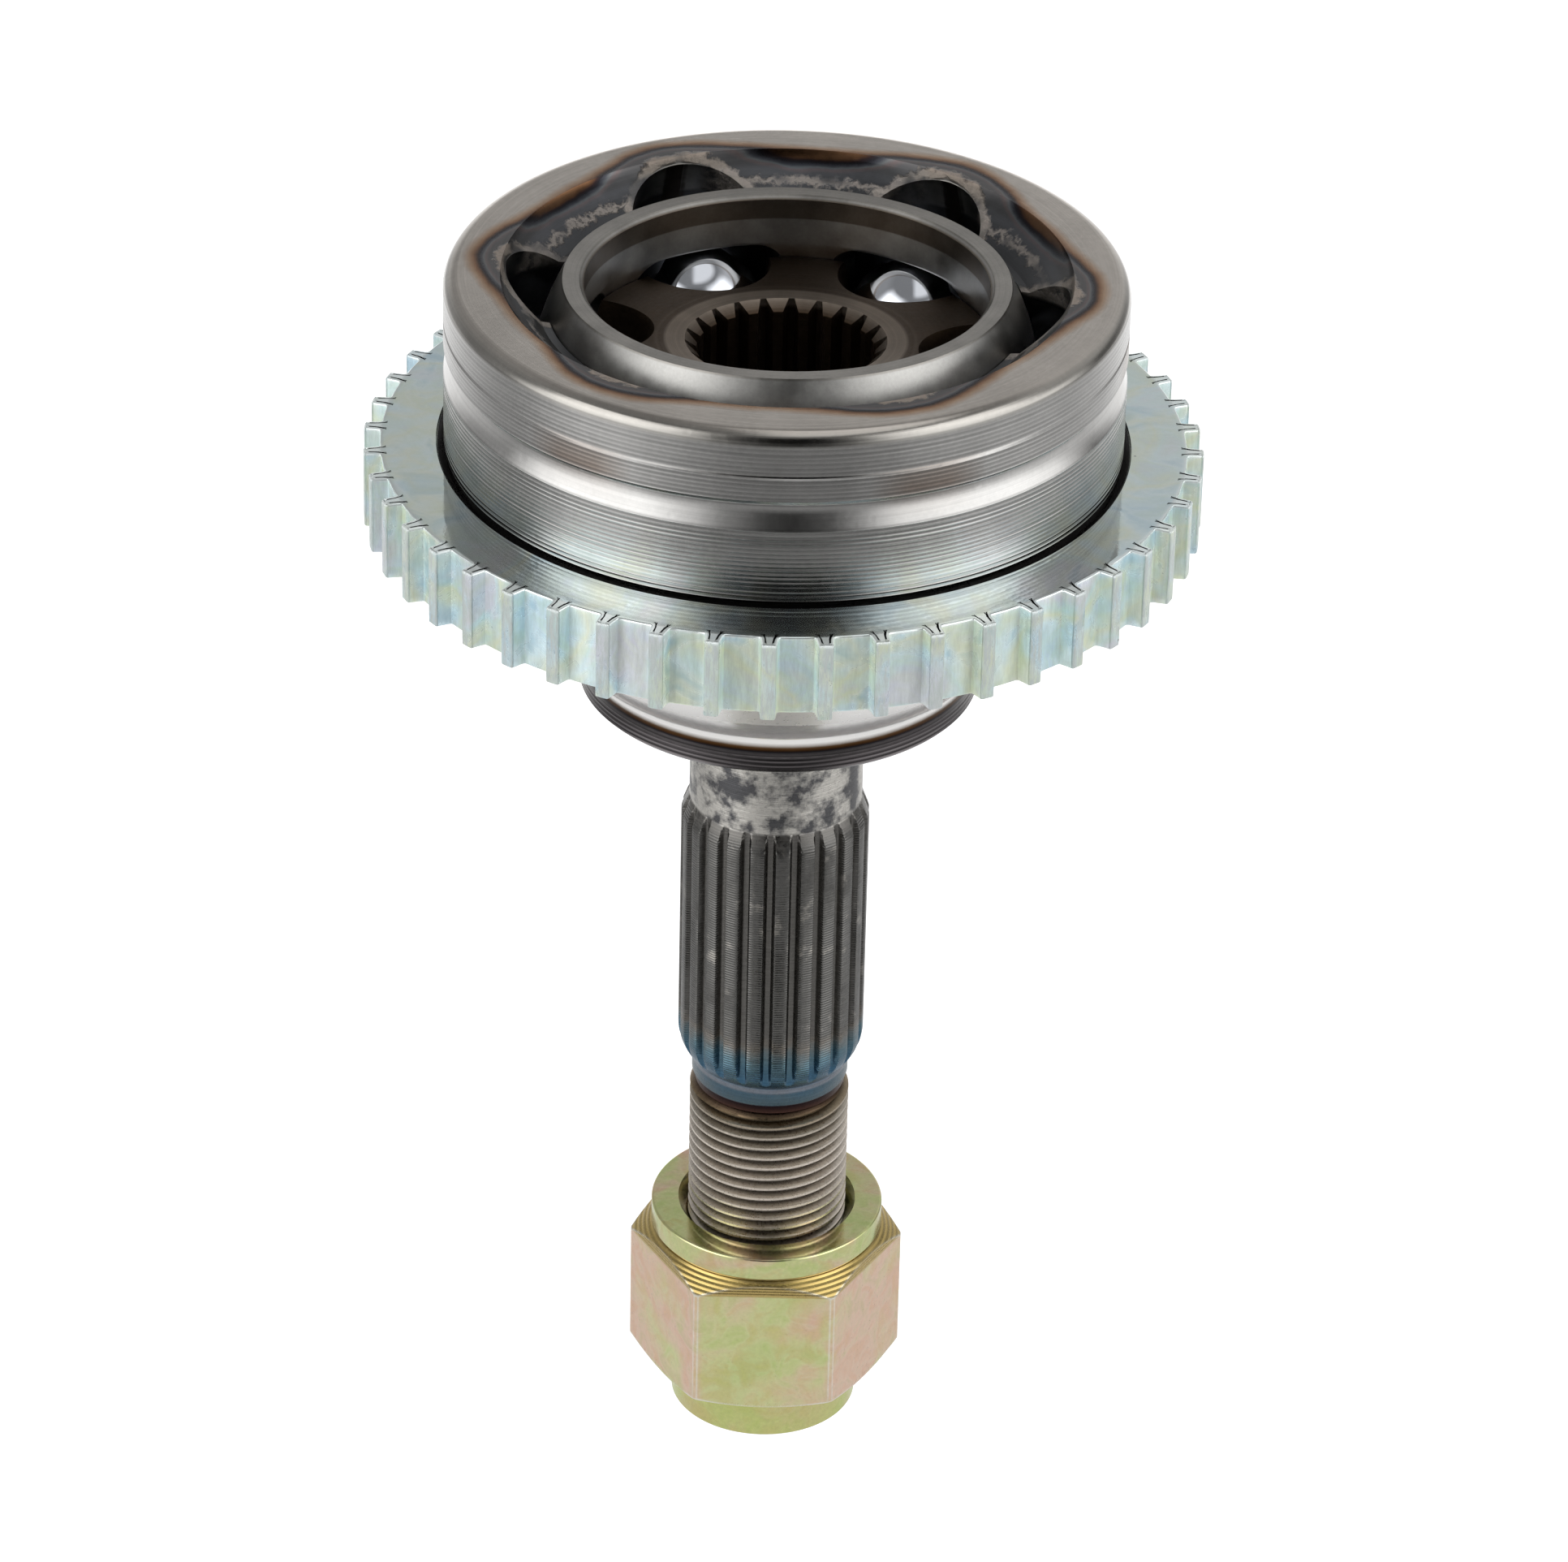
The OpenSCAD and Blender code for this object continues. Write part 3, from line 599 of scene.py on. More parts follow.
@dataclass(frozen=True)
class BrownedRace:
    """Finish of the inner race: hardened steel, browned by its heat treatment and ground round the socket."""

    brown: str = "#42362b"
    bright: str = "#7c7268"
    tip: float = 3.2
    top_low: float = 6.0

    def make(self) -> bpy.types.Material:
        """Builds the material."""
        material, tree = new_material("browned race steel")
        at = Place.of(tree, self.tip)
        grain = add(tree, "TexNoise", {"Vector": at.point, "Scale": 1.8, "Detail": 6.0, "Roughness": 0.7})
        cloud = add(tree, "TexNoise", {"Vector": at.point, "Scale": 0.2, "Detail": 4.0})
        ring_space = add(tree, "CombineXYZ", {0: at.radius, 1: at.height})
        rings = add(tree, "TexNoise", {"Vector": ring_space, "Scale": 3.0, "Detail": 4.0, "Roughness": 0.8})
        # By radius in mm: the ground ring round the socket, a dark groove and a thin bright line
        ground = add(tree, "MapRange", {"Value": at.radius, 1: 10.0, 2: 20.0})
        ground = add(tree, "ValToRGB", {0: ground}, stops=spread(
            10, 20, (10, "#303030"), (11.2, "#a0a0a0"), (12, "#ffffff"), (14.2, "#ffffff"), (14.6, "#606060"),
            (15, "#202020"), (15.4, "#707070"), (15.8, "#000000")))
        upper = add(tree, "MapRange", {"Value": at.height, 1: self.top_low, 2: self.top_low + 0.5})
        ground = add(tree, "Math", {0: ground, 1: upper}, operation="MULTIPLY")
        base = add(tree, "Mix", {0: ground, 6: self.brown, 7: self.bright}, data_type="RGBA")
        shade = add(tree, "MapRange", {"Value": rings, 1: 0.3, 2: 0.7, 3: 0.8, 4: 1.15})
        for pattern, dark, light in ((cloud, 0.85, 1.15), (grain, 0.9, 1.08)):
            part = add(tree, "MapRange", {"Value": pattern, 1: 0.3, 2: 0.7, 3: dark, 4: light})
            shade = add(tree, "Math", {0: shade, 1: part}, operation="MULTIPLY")
        colour = add(tree, "VectorMath", {0: base.outputs[2], "Scale": shade}, operation="SCALE")
        rough = add(tree, "MapRange", {"Value": grain, 1: 0.3, 2: 0.7, 3: 0.34, 4: 0.5})
        bump = add(tree, "Bump", {"Height": rings, "Distance": 0.02 * MM, "Strength": 0.6})
        shader = add(tree, "BsdfPrincipled", {"Base Color": colour, "Metallic": 1.0, "Roughness": rough,
                                              "Normal": bump})
        add(tree, "OutputMaterial", {"Surface": shader})
        return material


@dataclass(frozen=True)
class PolishedBall:
    """Finish of the balls: lapped bearing steel, a clean mirror with the faintest haze."""

    dim: str = "#a2a5ac"
    steel: str = "#c2c5cb"

    def make(self) -> bpy.types.Material:
        """Builds the material."""
        material, tree = new_material("lapped ball steel")
        at = Place.of(tree)
        haze = add(tree, "TexNoise", {"Vector": at.point, "Scale": 0.6, "Detail": 5.0})
        rough = add(tree, "MapRange", {"Value": haze, 1: 0.35, 2: 0.7, 3: 0.05, 4: 0.13})
        shade = add(tree, "MapRange", {"Value": haze, 1: 0.3, 2: 0.7, 3: 0.94, 4: 1.0})
        tone = add(tree, "Mix", {0: shade, 6: self.dim, 7: self.steel}, data_type="RGBA")
        shader = add(tree, "BsdfPrincipled", {"Base Color": tone.outputs[2], "Metallic": 1.0,
                                              "Roughness": rough})
        add(tree, "OutputMaterial", {"Surface": shader})
        return material


@dataclass(frozen=True)
class ClearZinc:
    """Finish of the toothed ring: blue passivated zinc over pressed steel.

    The eye sees a pale blue-grey film with drifts of straw, pink and blue, a few dark pits, edges rubbed
    bright, and grey torn metal on the tips.
    """

    film: str = "#dbeef2"
    straw: str = "#e4ebd9"
    blush: str = "#e0e4ec"
    sky: str = "#c6e0ee"
    torn: str = "#c0c8c6"
    pit: str = "#4d504c"
    shadow: str = "#0c0c0d"
    rubbed: str = "#e6edec"
    calm: str = "#cfd6d6"
    seat_r: float = 41.35
    plate_r: float = 48.2
    tip_r: float = 49.75
    top: float = -5.95

    def make(self) -> bpy.types.Material:
        """Builds the material."""
        material, tree = new_material("blue passivated zinc")
        at = Place.of(tree)
        drift = add(tree, "TexNoise", {"Vector": at.point, "Scale": 0.075, "Detail": 3.0, "Distortion": 0.6})
        second = add(tree, "TexNoise", {"Vector": at.point, "Scale": 0.16, "Detail": 4.0, "Distortion": 1.2})
        grain = add(tree, "TexNoise", {"Vector": at.point, "Scale": 1.9, "Detail": 6.0, "Roughness": 0.7})
        hue = add(tree, "ValToRGB", {0: drift}, stops=(
            (0.3, self.sky), (0.42, self.film), (0.5, self.straw), (0.58, self.film), (0.66, self.blush)))
        tone = add(tree, "ValToRGB", {0: second}, stops=(
            (0.3, "#d2e4ee"), (0.45, "#ffffff"), (0.58, "#f6f8ea"), (0.7, "#f2f0f4")))
        base = add(tree, "Mix", {0: 0.8, 6: hue.outputs[0], 7: tone.outputs[0]}, data_type="RGBA",
                   blend_type="MULTIPLY")
        # Torn tips: streaks run along the cut, down the height
        lengthwise = add(tree, "VectorMath", {0: at.point, 1: (1.6, 1.6, 0.25)}, operation="MULTIPLY")
        tear = add(tree, "TexNoise", {"Vector": lengthwise, "Scale": 1.0, "Detail": 6.0, "Roughness": 0.75})
        on_tip = add(tree, "MapRange", {"Value": at.radius, 1: self.tip_r, 2: self.tip_r + 0.15})
        torn = add(tree, "MapRange", {"Value": tear, 1: 0.42, 2: 0.58})
        torn = add(tree, "Math", {0: torn, 1: on_tip}, operation="MULTIPLY")
        # Small pits in a fifth of the cells, and the shadow where the bevel meets the bell
        cells = add(tree, "TexVoronoi", {"Vector": at.point, "Scale": 0.42, "Randomness": 1.0})
        pit = add(tree, "MapRange", {"Value": cells.outputs["Distance"], 1: 0.05, 2: 0.09, 3: 1.0, 4: 0.0})
        few = add(tree, "MapRange", {"Value": cells.outputs["Color"], 1: 0.8, 2: 0.84})
        pit = add(tree, "Math", {0: pit, 1: few}, operation="MULTIPLY")
        hollow = add(tree, "MapRange", {"Value": at.radius, 1: self.seat_r, 2: self.seat_r - 0.15})
        # Upper edges of the teeth rubbed bright by handling
        rubbed = add(tree, "MapRange", {"Value": at.height, 1: self.top - 0.4, 2: self.top - 0.15})
        for mask in (add(tree, "MapRange", {"Value": at.radius, 1: self.plate_r - 0.6, 2: self.plate_r - 0.3}),
                     add(tree, "MapRange", {"Value": tear, 1: 0.35, 2: 0.55, 3: 0.2, 4: 0.9})):
            rubbed = add(tree, "Math", {0: rubbed, 1: mask}, operation="MULTIPLY")
        on_top = add(tree, "MapRange", {"Value": at.height, 1: self.top - 0.2, 2: self.top})
        calm = add(tree, "Math", {0: on_top, 1: 0.45}, operation="MULTIPLY")
        colour = base.outputs[2]
        for mask, coat in ((torn, self.torn), (pit, self.pit), (hollow, self.shadow), (rubbed, self.rubbed),
                           (calm, self.calm)):
            colour = add(tree, "Mix", {0: mask, 6: colour, 7: coat}, data_type="RGBA").outputs[2]
        # Drawn lines down the press cut, light and dark
        cut = add(tree, "MapRange", {"Value": tear, 1: 0.35, 2: 0.65, 3: 0.86, 4: 1.08})
        cut = add(tree, "Mix", {0: on_top, 2: cut, 3: 1.0}, data_type="FLOAT")
        spots = add(tree, "MapRange", {"Value": grain, 1: 0.3, 2: 0.7, 3: 0.98, 4: 1.02})
        spots = add(tree, "Math", {0: spots, 1: cut.outputs[0]}, operation="MULTIPLY")
        colour = add(tree, "VectorMath", {0: colour, "Scale": spots}, operation="SCALE")
        rough = add(tree, "MapRange", {"Value": second, 1: 0.3, 2: 0.7, 3: 0.25, 4: 0.32})
        for mask, more in ((torn, 0.15), (on_top, -0.21)):
            rough = add(tree, "Math", {0: mask, 1: more, 2: rough}, operation="MULTIPLY_ADD")
        # The plate between the bell and the teeth shows more metal under its film
        plate = add(tree, "MapRange", {"Value": at.radius, 1: self.plate_r, 2: self.plate_r - 0.3})
        plate = add(tree, "Math", {0: on_top, 1: plate}, operation="MULTIPLY")
        metal = add(tree, "Math", {0: plate, 1: 0.48, 2: 0.5}, operation="MULTIPLY_ADD")
        bump = add(tree, "Bump", {"Height": second, "Distance": 0.05 * MM, "Strength": 0.6})
        split = add(tree, "Math", {0: tear, 1: on_tip}, operation="MULTIPLY")
        bump = add(tree, "Bump", {"Height": split, "Distance": 0.25 * MM, "Strength": 0.8, "Normal": bump})
        shader = add(tree, "BsdfPrincipled", {"Base Color": colour, "Metallic": metal, "Roughness": rough,
                                              "Normal": bump})
        add(tree, "OutputMaterial", {"Surface": shader})
        return material


@dataclass(frozen=True)
class YellowZinc:
    """Finish of the nut: yellow passivated zinc.

    The eye sees a greenish gold film with drifts of pink, silvery where the hexagon's edges are rubbed.
    """

    moss: str = "#c0c98c"
    green: str = "#cbcc98"
    sand: str = "#d2c4a0"
    pink: str = "#d8bda8"
    gold: str = "#c9b06e"
    under: str = "#bcc46e"
    silver: str = "#e4e4dc"
    crown: float = -114.6
    hex_top: float = -117.5
    collar_low: float = -119.9
    hex_low: float = -136.9
    feed: float = 0.2

    def make(self) -> bpy.types.Material:
        """Builds the material."""
        material, tree = new_material("yellow passivated zinc")
        at = Place.of(tree)
        drift = add(tree, "TexNoise", {"Vector": at.point, "Scale": 0.09, "Detail": 3.0, "Distortion": 1.0})
        second = add(tree, "TexNoise", {"Vector": at.point, "Scale": 0.3, "Detail": 4.0, "Distortion": 1.0})
        grain = add(tree, "TexNoise", {"Vector": at.point, "Scale": 2.0, "Detail": 6.0, "Roughness": 0.7})
        # The hexagon's side flats are painted pinker than the one in front, a painted sheen for the film's
        # iridescent shift where it is seen at a slant
        middle = add(tree, "MapRange", {"Value": at.height, 1: self.hex_top, 2: self.hex_top - 2.5})
        foot = add(tree, "MapRange", {"Value": at.height, 1: self.hex_low, 2: self.hex_low + 1.0})
        on_hex = add(tree, "Math", {0: middle, 1: foot}, operation="MULTIPLY")
        apart = add(tree, "SeparateXYZ", {0: at.point})
        painted_slant_sheen = add(tree, "Math", {0: apart.outputs["X"]}, operation="ABSOLUTE")
        painted_slant_sheen = add(tree, "MapRange", {"Value": painted_slant_sheen, 1: 7.5, 2: 9.5, 3: 0.0, 4: 0.24})
        painted_slant_sheen = add(tree, "Math", {0: painted_slant_sheen, 1: on_hex}, operation="MULTIPLY")
        drift_and_slant_sheen = add(tree, "Math", {0: drift, 1: painted_slant_sheen}, operation="ADD")
        hue = add(tree, "ValToRGB", {0: drift_and_slant_sheen}, stops=(
            (0.36, self.moss), (0.5, self.green), (0.6, self.sand), (0.72, self.pink)))
        tone = add(tree, "ValToRGB", {0: second}, stops=(
            (0.34, "#ecf6de"), (0.48, "#ffffff"), (0.6, "#fbeee6"), (0.7, "#f8ecd4")))
        base = add(tree, "Mix", {0: 0.7, 6: hue.outputs[0], 7: tone.outputs[0]}, data_type="RGBA",
                   blend_type="MULTIPLY")
        # Gold where the lathe cut the chamfer under the upper collar
        lathe = add(tree, "MapRange", {"Value": at.height, 1: self.collar_low, 2: self.collar_low + 0.3})
        collar = add(tree, "MapRange", {"Value": at.height, 1: self.hex_top - 0.1, 2: self.hex_top + 0.1,
                                        3: 1.0, 4: 0.0})
        lathe = add(tree, "Math", {0: lathe, 1: collar}, operation="MULTIPLY")
        under = add(tree, "MapRange", {"Value": at.height, 1: self.hex_low - 0.8, 2: self.hex_low - 1.4,
                                       3: 0.0, 4: 0.5})
        # Edges are found where a bevelled normal leaves the true one
        edge = add(tree, "Bevel", {"Radius": 0.5 * MM}, samples=6)
        true = add(tree, "NewGeometry").outputs["Normal"]
        agree = add(tree, "VectorMath", {0: edge, 1: true}, operation="DOT_PRODUCT")
        worn = add(tree, "MapRange", {"Value": agree.outputs["Value"], 1: 0.998, 2: 0.96})
        for mask in (on_hex, add(tree, "MapRange", {"Value": second, 1: 0.3, 2: 0.5, 3: 0.35, 4: 1.0})):
            worn = add(tree, "Math", {0: worn, 1: mask}, operation="MULTIPLY")
        colour = base.outputs[2]
        for mask, coat in ((lathe, self.gold), (under, self.under), (worn, self.silver)):
            colour = add(tree, "Mix", {0: mask, 6: colour, 7: coat}, data_type="RGBA").outputs[2]
        feed = add(tree, "Math", {0: at.height, 1: self.feed}, operation="PINGPONG")
        feed = add(tree, "Math", {0: feed, 1: lathe}, operation="MULTIPLY")
        spots = add(tree, "MapRange", {"Value": grain, 1: 0.3, 2: 0.7, 3: 0.92, 4: 1.06})
        spots = add(tree, "Math", {0: feed, 1: -2.0, 2: spots}, operation="MULTIPLY_ADD")
        colour = add(tree, "VectorMath", {0: colour, "Scale": spots}, operation="SCALE")
        # Roughness: the hexagon is dull as drawn, the collars are turned smooth
        rough = add(tree, "MapRange", {"Value": grain, 1: 0.3, 2: 0.7, 3: 0.26, 4: 0.4})
        rough = add(tree, "Math", {0: on_hex, 1: 0.14, 2: rough}, operation="MULTIPLY_ADD")
        rough = add(tree, "Math", {0: rough, 1: 0.14}, operation="SUBTRACT")
        crown = add(tree, "MapRange", {"Value": at.height, 1: self.crown, 2: self.crown + 0.15})
        rough = add(tree, "Math", {0: crown, 1: -0.07, 2: rough}, operation="MULTIPLY_ADD")
        metal = add(tree, "Math", {0: on_hex, 1: -0.16, 2: 0.96}, operation="MULTIPLY_ADD")
        bump = add(tree, "Bump", {"Height": feed, "Distance": 0.4 * MM, "Strength": 0.8})
        bump = add(tree, "Bump", {"Height": grain, "Distance": 0.002 * MM, "Strength": 0.5, "Normal": bump})
        shader = add(tree, "BsdfPrincipled", {"Base Color": colour, "Metallic": metal, "Roughness": rough,
                                              "Normal": bump})
        add(tree, "OutputMaterial", {"Surface": shader})
        return material


@dataclass(frozen=True)
class StubSteel:
    """Finish of the stub, forged and machined.

    The eye sees black scale rubbed grey on the neck, oiled steel on the spline, a blue temper at the spline's
    foot, and a thread cut bright with a brown cast.
    """

    black: str = "#58585a"
    grey: str = "#c2bfb9"
    root: str = "#656360"
    oiled: str = "#5e5d5b"
    tan: str = "#96928c"
    blue: str = "#3f5f76"
    lip: str = "#a8a1a4"
    cut: str = "#c4bbb0"
    neck_low: float = -54.75
    crest_r: float = 11.4
    foot: float = -82.0
    thread_top: float = -94.5
    chatter: float = 0.17

    def make(self) -> bpy.types.Material:
        """Builds the material."""
        material, tree = new_material("stub steel")
        at = Place.of(tree)
        patch = add(tree, "TexNoise", {"Vector": at.point, "Scale": 0.3, "Detail": 6.0, "Roughness": 0.62})
        cloud = add(tree, "TexNoise", {"Vector": at.point, "Scale": 0.12, "Detail": 4.0})
        grain = add(tree, "TexNoise", {"Vector": at.point, "Scale": 2.2, "Detail": 6.0, "Roughness": 0.7})
        drift = add(tree, "VectorMath", {0: at.point, 1: (0.02, 0.01, 0)}, operation="DOT_PRODUCT")
        ring_space = add(tree, "CombineXYZ", {0: 0.0, 1: at.height, 2: drift.outputs["Value"]})
        rings = add(tree, "TexNoise", {"Vector": ring_space, "Scale": 4.0, "Detail": 3.0, "Roughness": 0.8})
        # Neck: scale rubbed off in patches
        bare = add(tree, "MapRange", {"Value": patch, 1: 0.43, 2: 0.57})
        neck = add(tree, "Mix", {0: bare, 6: self.black, 7: self.grey}, data_type="RGBA")
        # Spline: darker roots, tan patches on the crests, and the temper colours at the foot by height in mm
        crest = add(tree, "MapRange", {"Value": at.radius, 1: self.crest_r - 0.5, 2: self.crest_r})
        spline = add(tree, "Mix", {0: crest, 6: self.root, 7: self.oiled}, data_type="RGBA")
        tan = add(tree, "MapRange", {"Value": patch, 1: 0.58, 2: 0.68, 3: 0.0, 4: 0.7})
        tan = add(tree, "Math", {0: tan, 1: crest}, operation="MULTIPLY")
        lower = add(tree, "Math", {0: patch, 1: 4.0, 2: at.height}, operation="MULTIPLY_ADD")
        temper = add(tree, "MapRange", {"Value": lower, 1: -92.0, 2: -79.0})
        temper = add(tree, "ValToRGB", {0: temper}, stops=spread(
            -92, -79, (-92, "#4d5f68"), (-88.75, self.blue), (-85.5, "#58707a"), (-83.16, "#767069"),
            (-80.95, "#6c6761")))
        in_temper = add(tree, "MapRange", {"Value": lower, 1: self.foot, 2: self.foot - 2.0})
        below = add(tree, "MapRange", {"Value": at.height, 1: self.neck_low + 0.2, 2: self.neck_low - 0.2})
        # Thread: cut bright below, browned by the heat above; the lip is the spline's lower edge
        thread = add(tree, "MapRange", {"Value": at.height, 1: -103.0, 2: -94.3})
        thread = add(tree, "ValToRGB", {0: thread}, stops=spread(
            -103, -94.3, (-103, self.cut), (-98.65, "#a8a094"), (-96.91, "#83735a"), (-95.866, "#5a4038"),
            (-94.909, "#2c2024"), (-94.3, "#4a3448")))
        in_thread = add(tree, "MapRange", {"Value": at.height, 1: self.thread_top, 2: self.thread_top - 0.2})
        lip = add(tree, "MapRange", {"Value": at.height, 1: -93.4, 2: -91.9})
        lip = add(tree, "ValToRGB", {0: lip}, stops=spread(
            -93.4, -91.9, (-92.95, "#000000"), (-92.65, "#a0a0a0"), (-92.275, "#a0a0a0"), (-91.9, "#000000")))
        narrow = add(tree, "MapRange", {"Value": at.radius, 1: 10.4, 2: 10.2})
        lip = add(tree, "Math", {0: lip, 1: narrow}, operation="MULTIPLY")
        for mask, coat in ((tan, self.tan), (in_temper, temper.outputs[0])):
            spline = add(tree, "Mix", {0: mask, 6: spline.outputs[2], 7: coat}, data_type="RGBA")
        colour = neck.outputs[2]
        for mask, coat in ((below, spline.outputs[2]), (in_thread, thread.outputs[0]), (lip, self.lip)):
            colour = add(tree, "Mix", {0: mask, 6: colour, 7: coat}, data_type="RGBA").outputs[2]
        # Painted shade and highlight on the thread: its roots are painted darker and its crests lighter, by
        # radius
        depth = add(tree, "MapRange", {"Value": at.radius, 1: 9.2, 2: 9.85, 3: 0.4, 4: 1.15})
        depth = add(tree, "Mix", {0: in_thread, 2: 1.0, 3: depth}, data_type="FLOAT")
        shade = add(tree, "MapRange", {"Value": rings, 1: 0.3, 2: 0.7, 3: 0.8, 4: 1.15})
        spots = add(tree, "MapRange", {"Value": grain, 1: 0.3, 2: 0.7, 3: 0.85, 4: 1.12})
        for part in (spots, depth.outputs[0]):
            shade = add(tree, "Math", {0: shade, 1: part}, operation="MULTIPLY")
        colour = add(tree, "VectorMath", {0: colour, "Scale": shade}, operation="SCALE")
        rough = add(tree, "MapRange", {"Value": grain, 1: 0.3, 2: 0.7, 3: 0.22, 4: 0.4})
        # Chatter of the rolling tool: short level lines across the spline's crests
        chatter = add(tree, "Math", {0: at.height, 1: self.chatter}, operation="PINGPONG")
        for mask in (crest, add(tree, "MapRange", {"Value": cloud, 1: 0.35, 2: 0.6})):
            chatter = add(tree, "Math", {0: chatter, 1: mask}, operation="MULTIPLY")
        bump = add(tree, "Bump", {"Height": rings, "Distance": 0.04 * MM, "Strength": 0.8})
        for height, deep, strength in ((patch, 0.06, 0.5), (chatter, 0.5, 0.9)):
            bump = add(tree, "Bump", {"Height": height, "Distance": deep * MM, "Strength": strength,
                                      "Normal": bump})
        shader = add(tree, "BsdfPrincipled", {"Base Color": colour, "Metallic": 1.0, "Roughness": rough,
                                              "Normal": bump})
        add(tree, "OutputMaterial", {"Surface": shader})
        return material


def outline_grid(levels: Sequence[tuple[float, float]], angles: np.ndarray, section: np.ndarray) -> np.ndarray:
    """Carries a section down the axis: a point's radius is the section's there or the level's limit, if less.

    Args:
        levels: (limit radius, height) pairs in mm, from the top down.
        angles: the section's angles in radians, one turn.
        section: the section's radius at each angle.

    Returns:
        A grid of points, rows by columns by 3.
    """
    limit, z = np.array(levels, float).T
    r = np.minimum(limit[:, None], section[None, :])
    return np.stack([r * np.cos(angles), r * np.sin(angles), np.repeat(z[:, None], len(angles), 1)], axis=-1)


def toothed(count: int, tooth: Sequence[tuple[float, float]], root: float, first: float,
            between: int) -> tuple[np.ndarray, np.ndarray]:
    """A toothed section as angles and radii: one tooth's half outline mirrored, then an arc of the root circle.

    Args:
        count: how many teeth.
        tooth: (radius, half width) pairs in mm from the foot to the tip.
        root: radius of the root circle.
        first: angle of the first tooth's middle, in degrees.
        between: points on the root arc between two teeth.

    Returns:
        Angles in radians, rising through one turn, and the radius at each.
    """
    radius = np.array([r for r, _ in tooth])
    half = np.arcsin(np.array([w for _, w in tooth]) / radius)
    pitch = TAU / count
    a = np.concatenate([-half, half[::-1]])
    r = np.concatenate([radius, radius[::-1]])
    gap = half[0] + (pitch - 2 * half[0]) * np.arange(1, between + 1) / (between + 1)
    a, r = np.concatenate([a, gap]), np.concatenate([r, np.full(between, root)])
    angles = (math.radians(first) + np.arange(count)[:, None] * pitch + a[None, :]).ravel()
    return angles, np.tile(r, count)


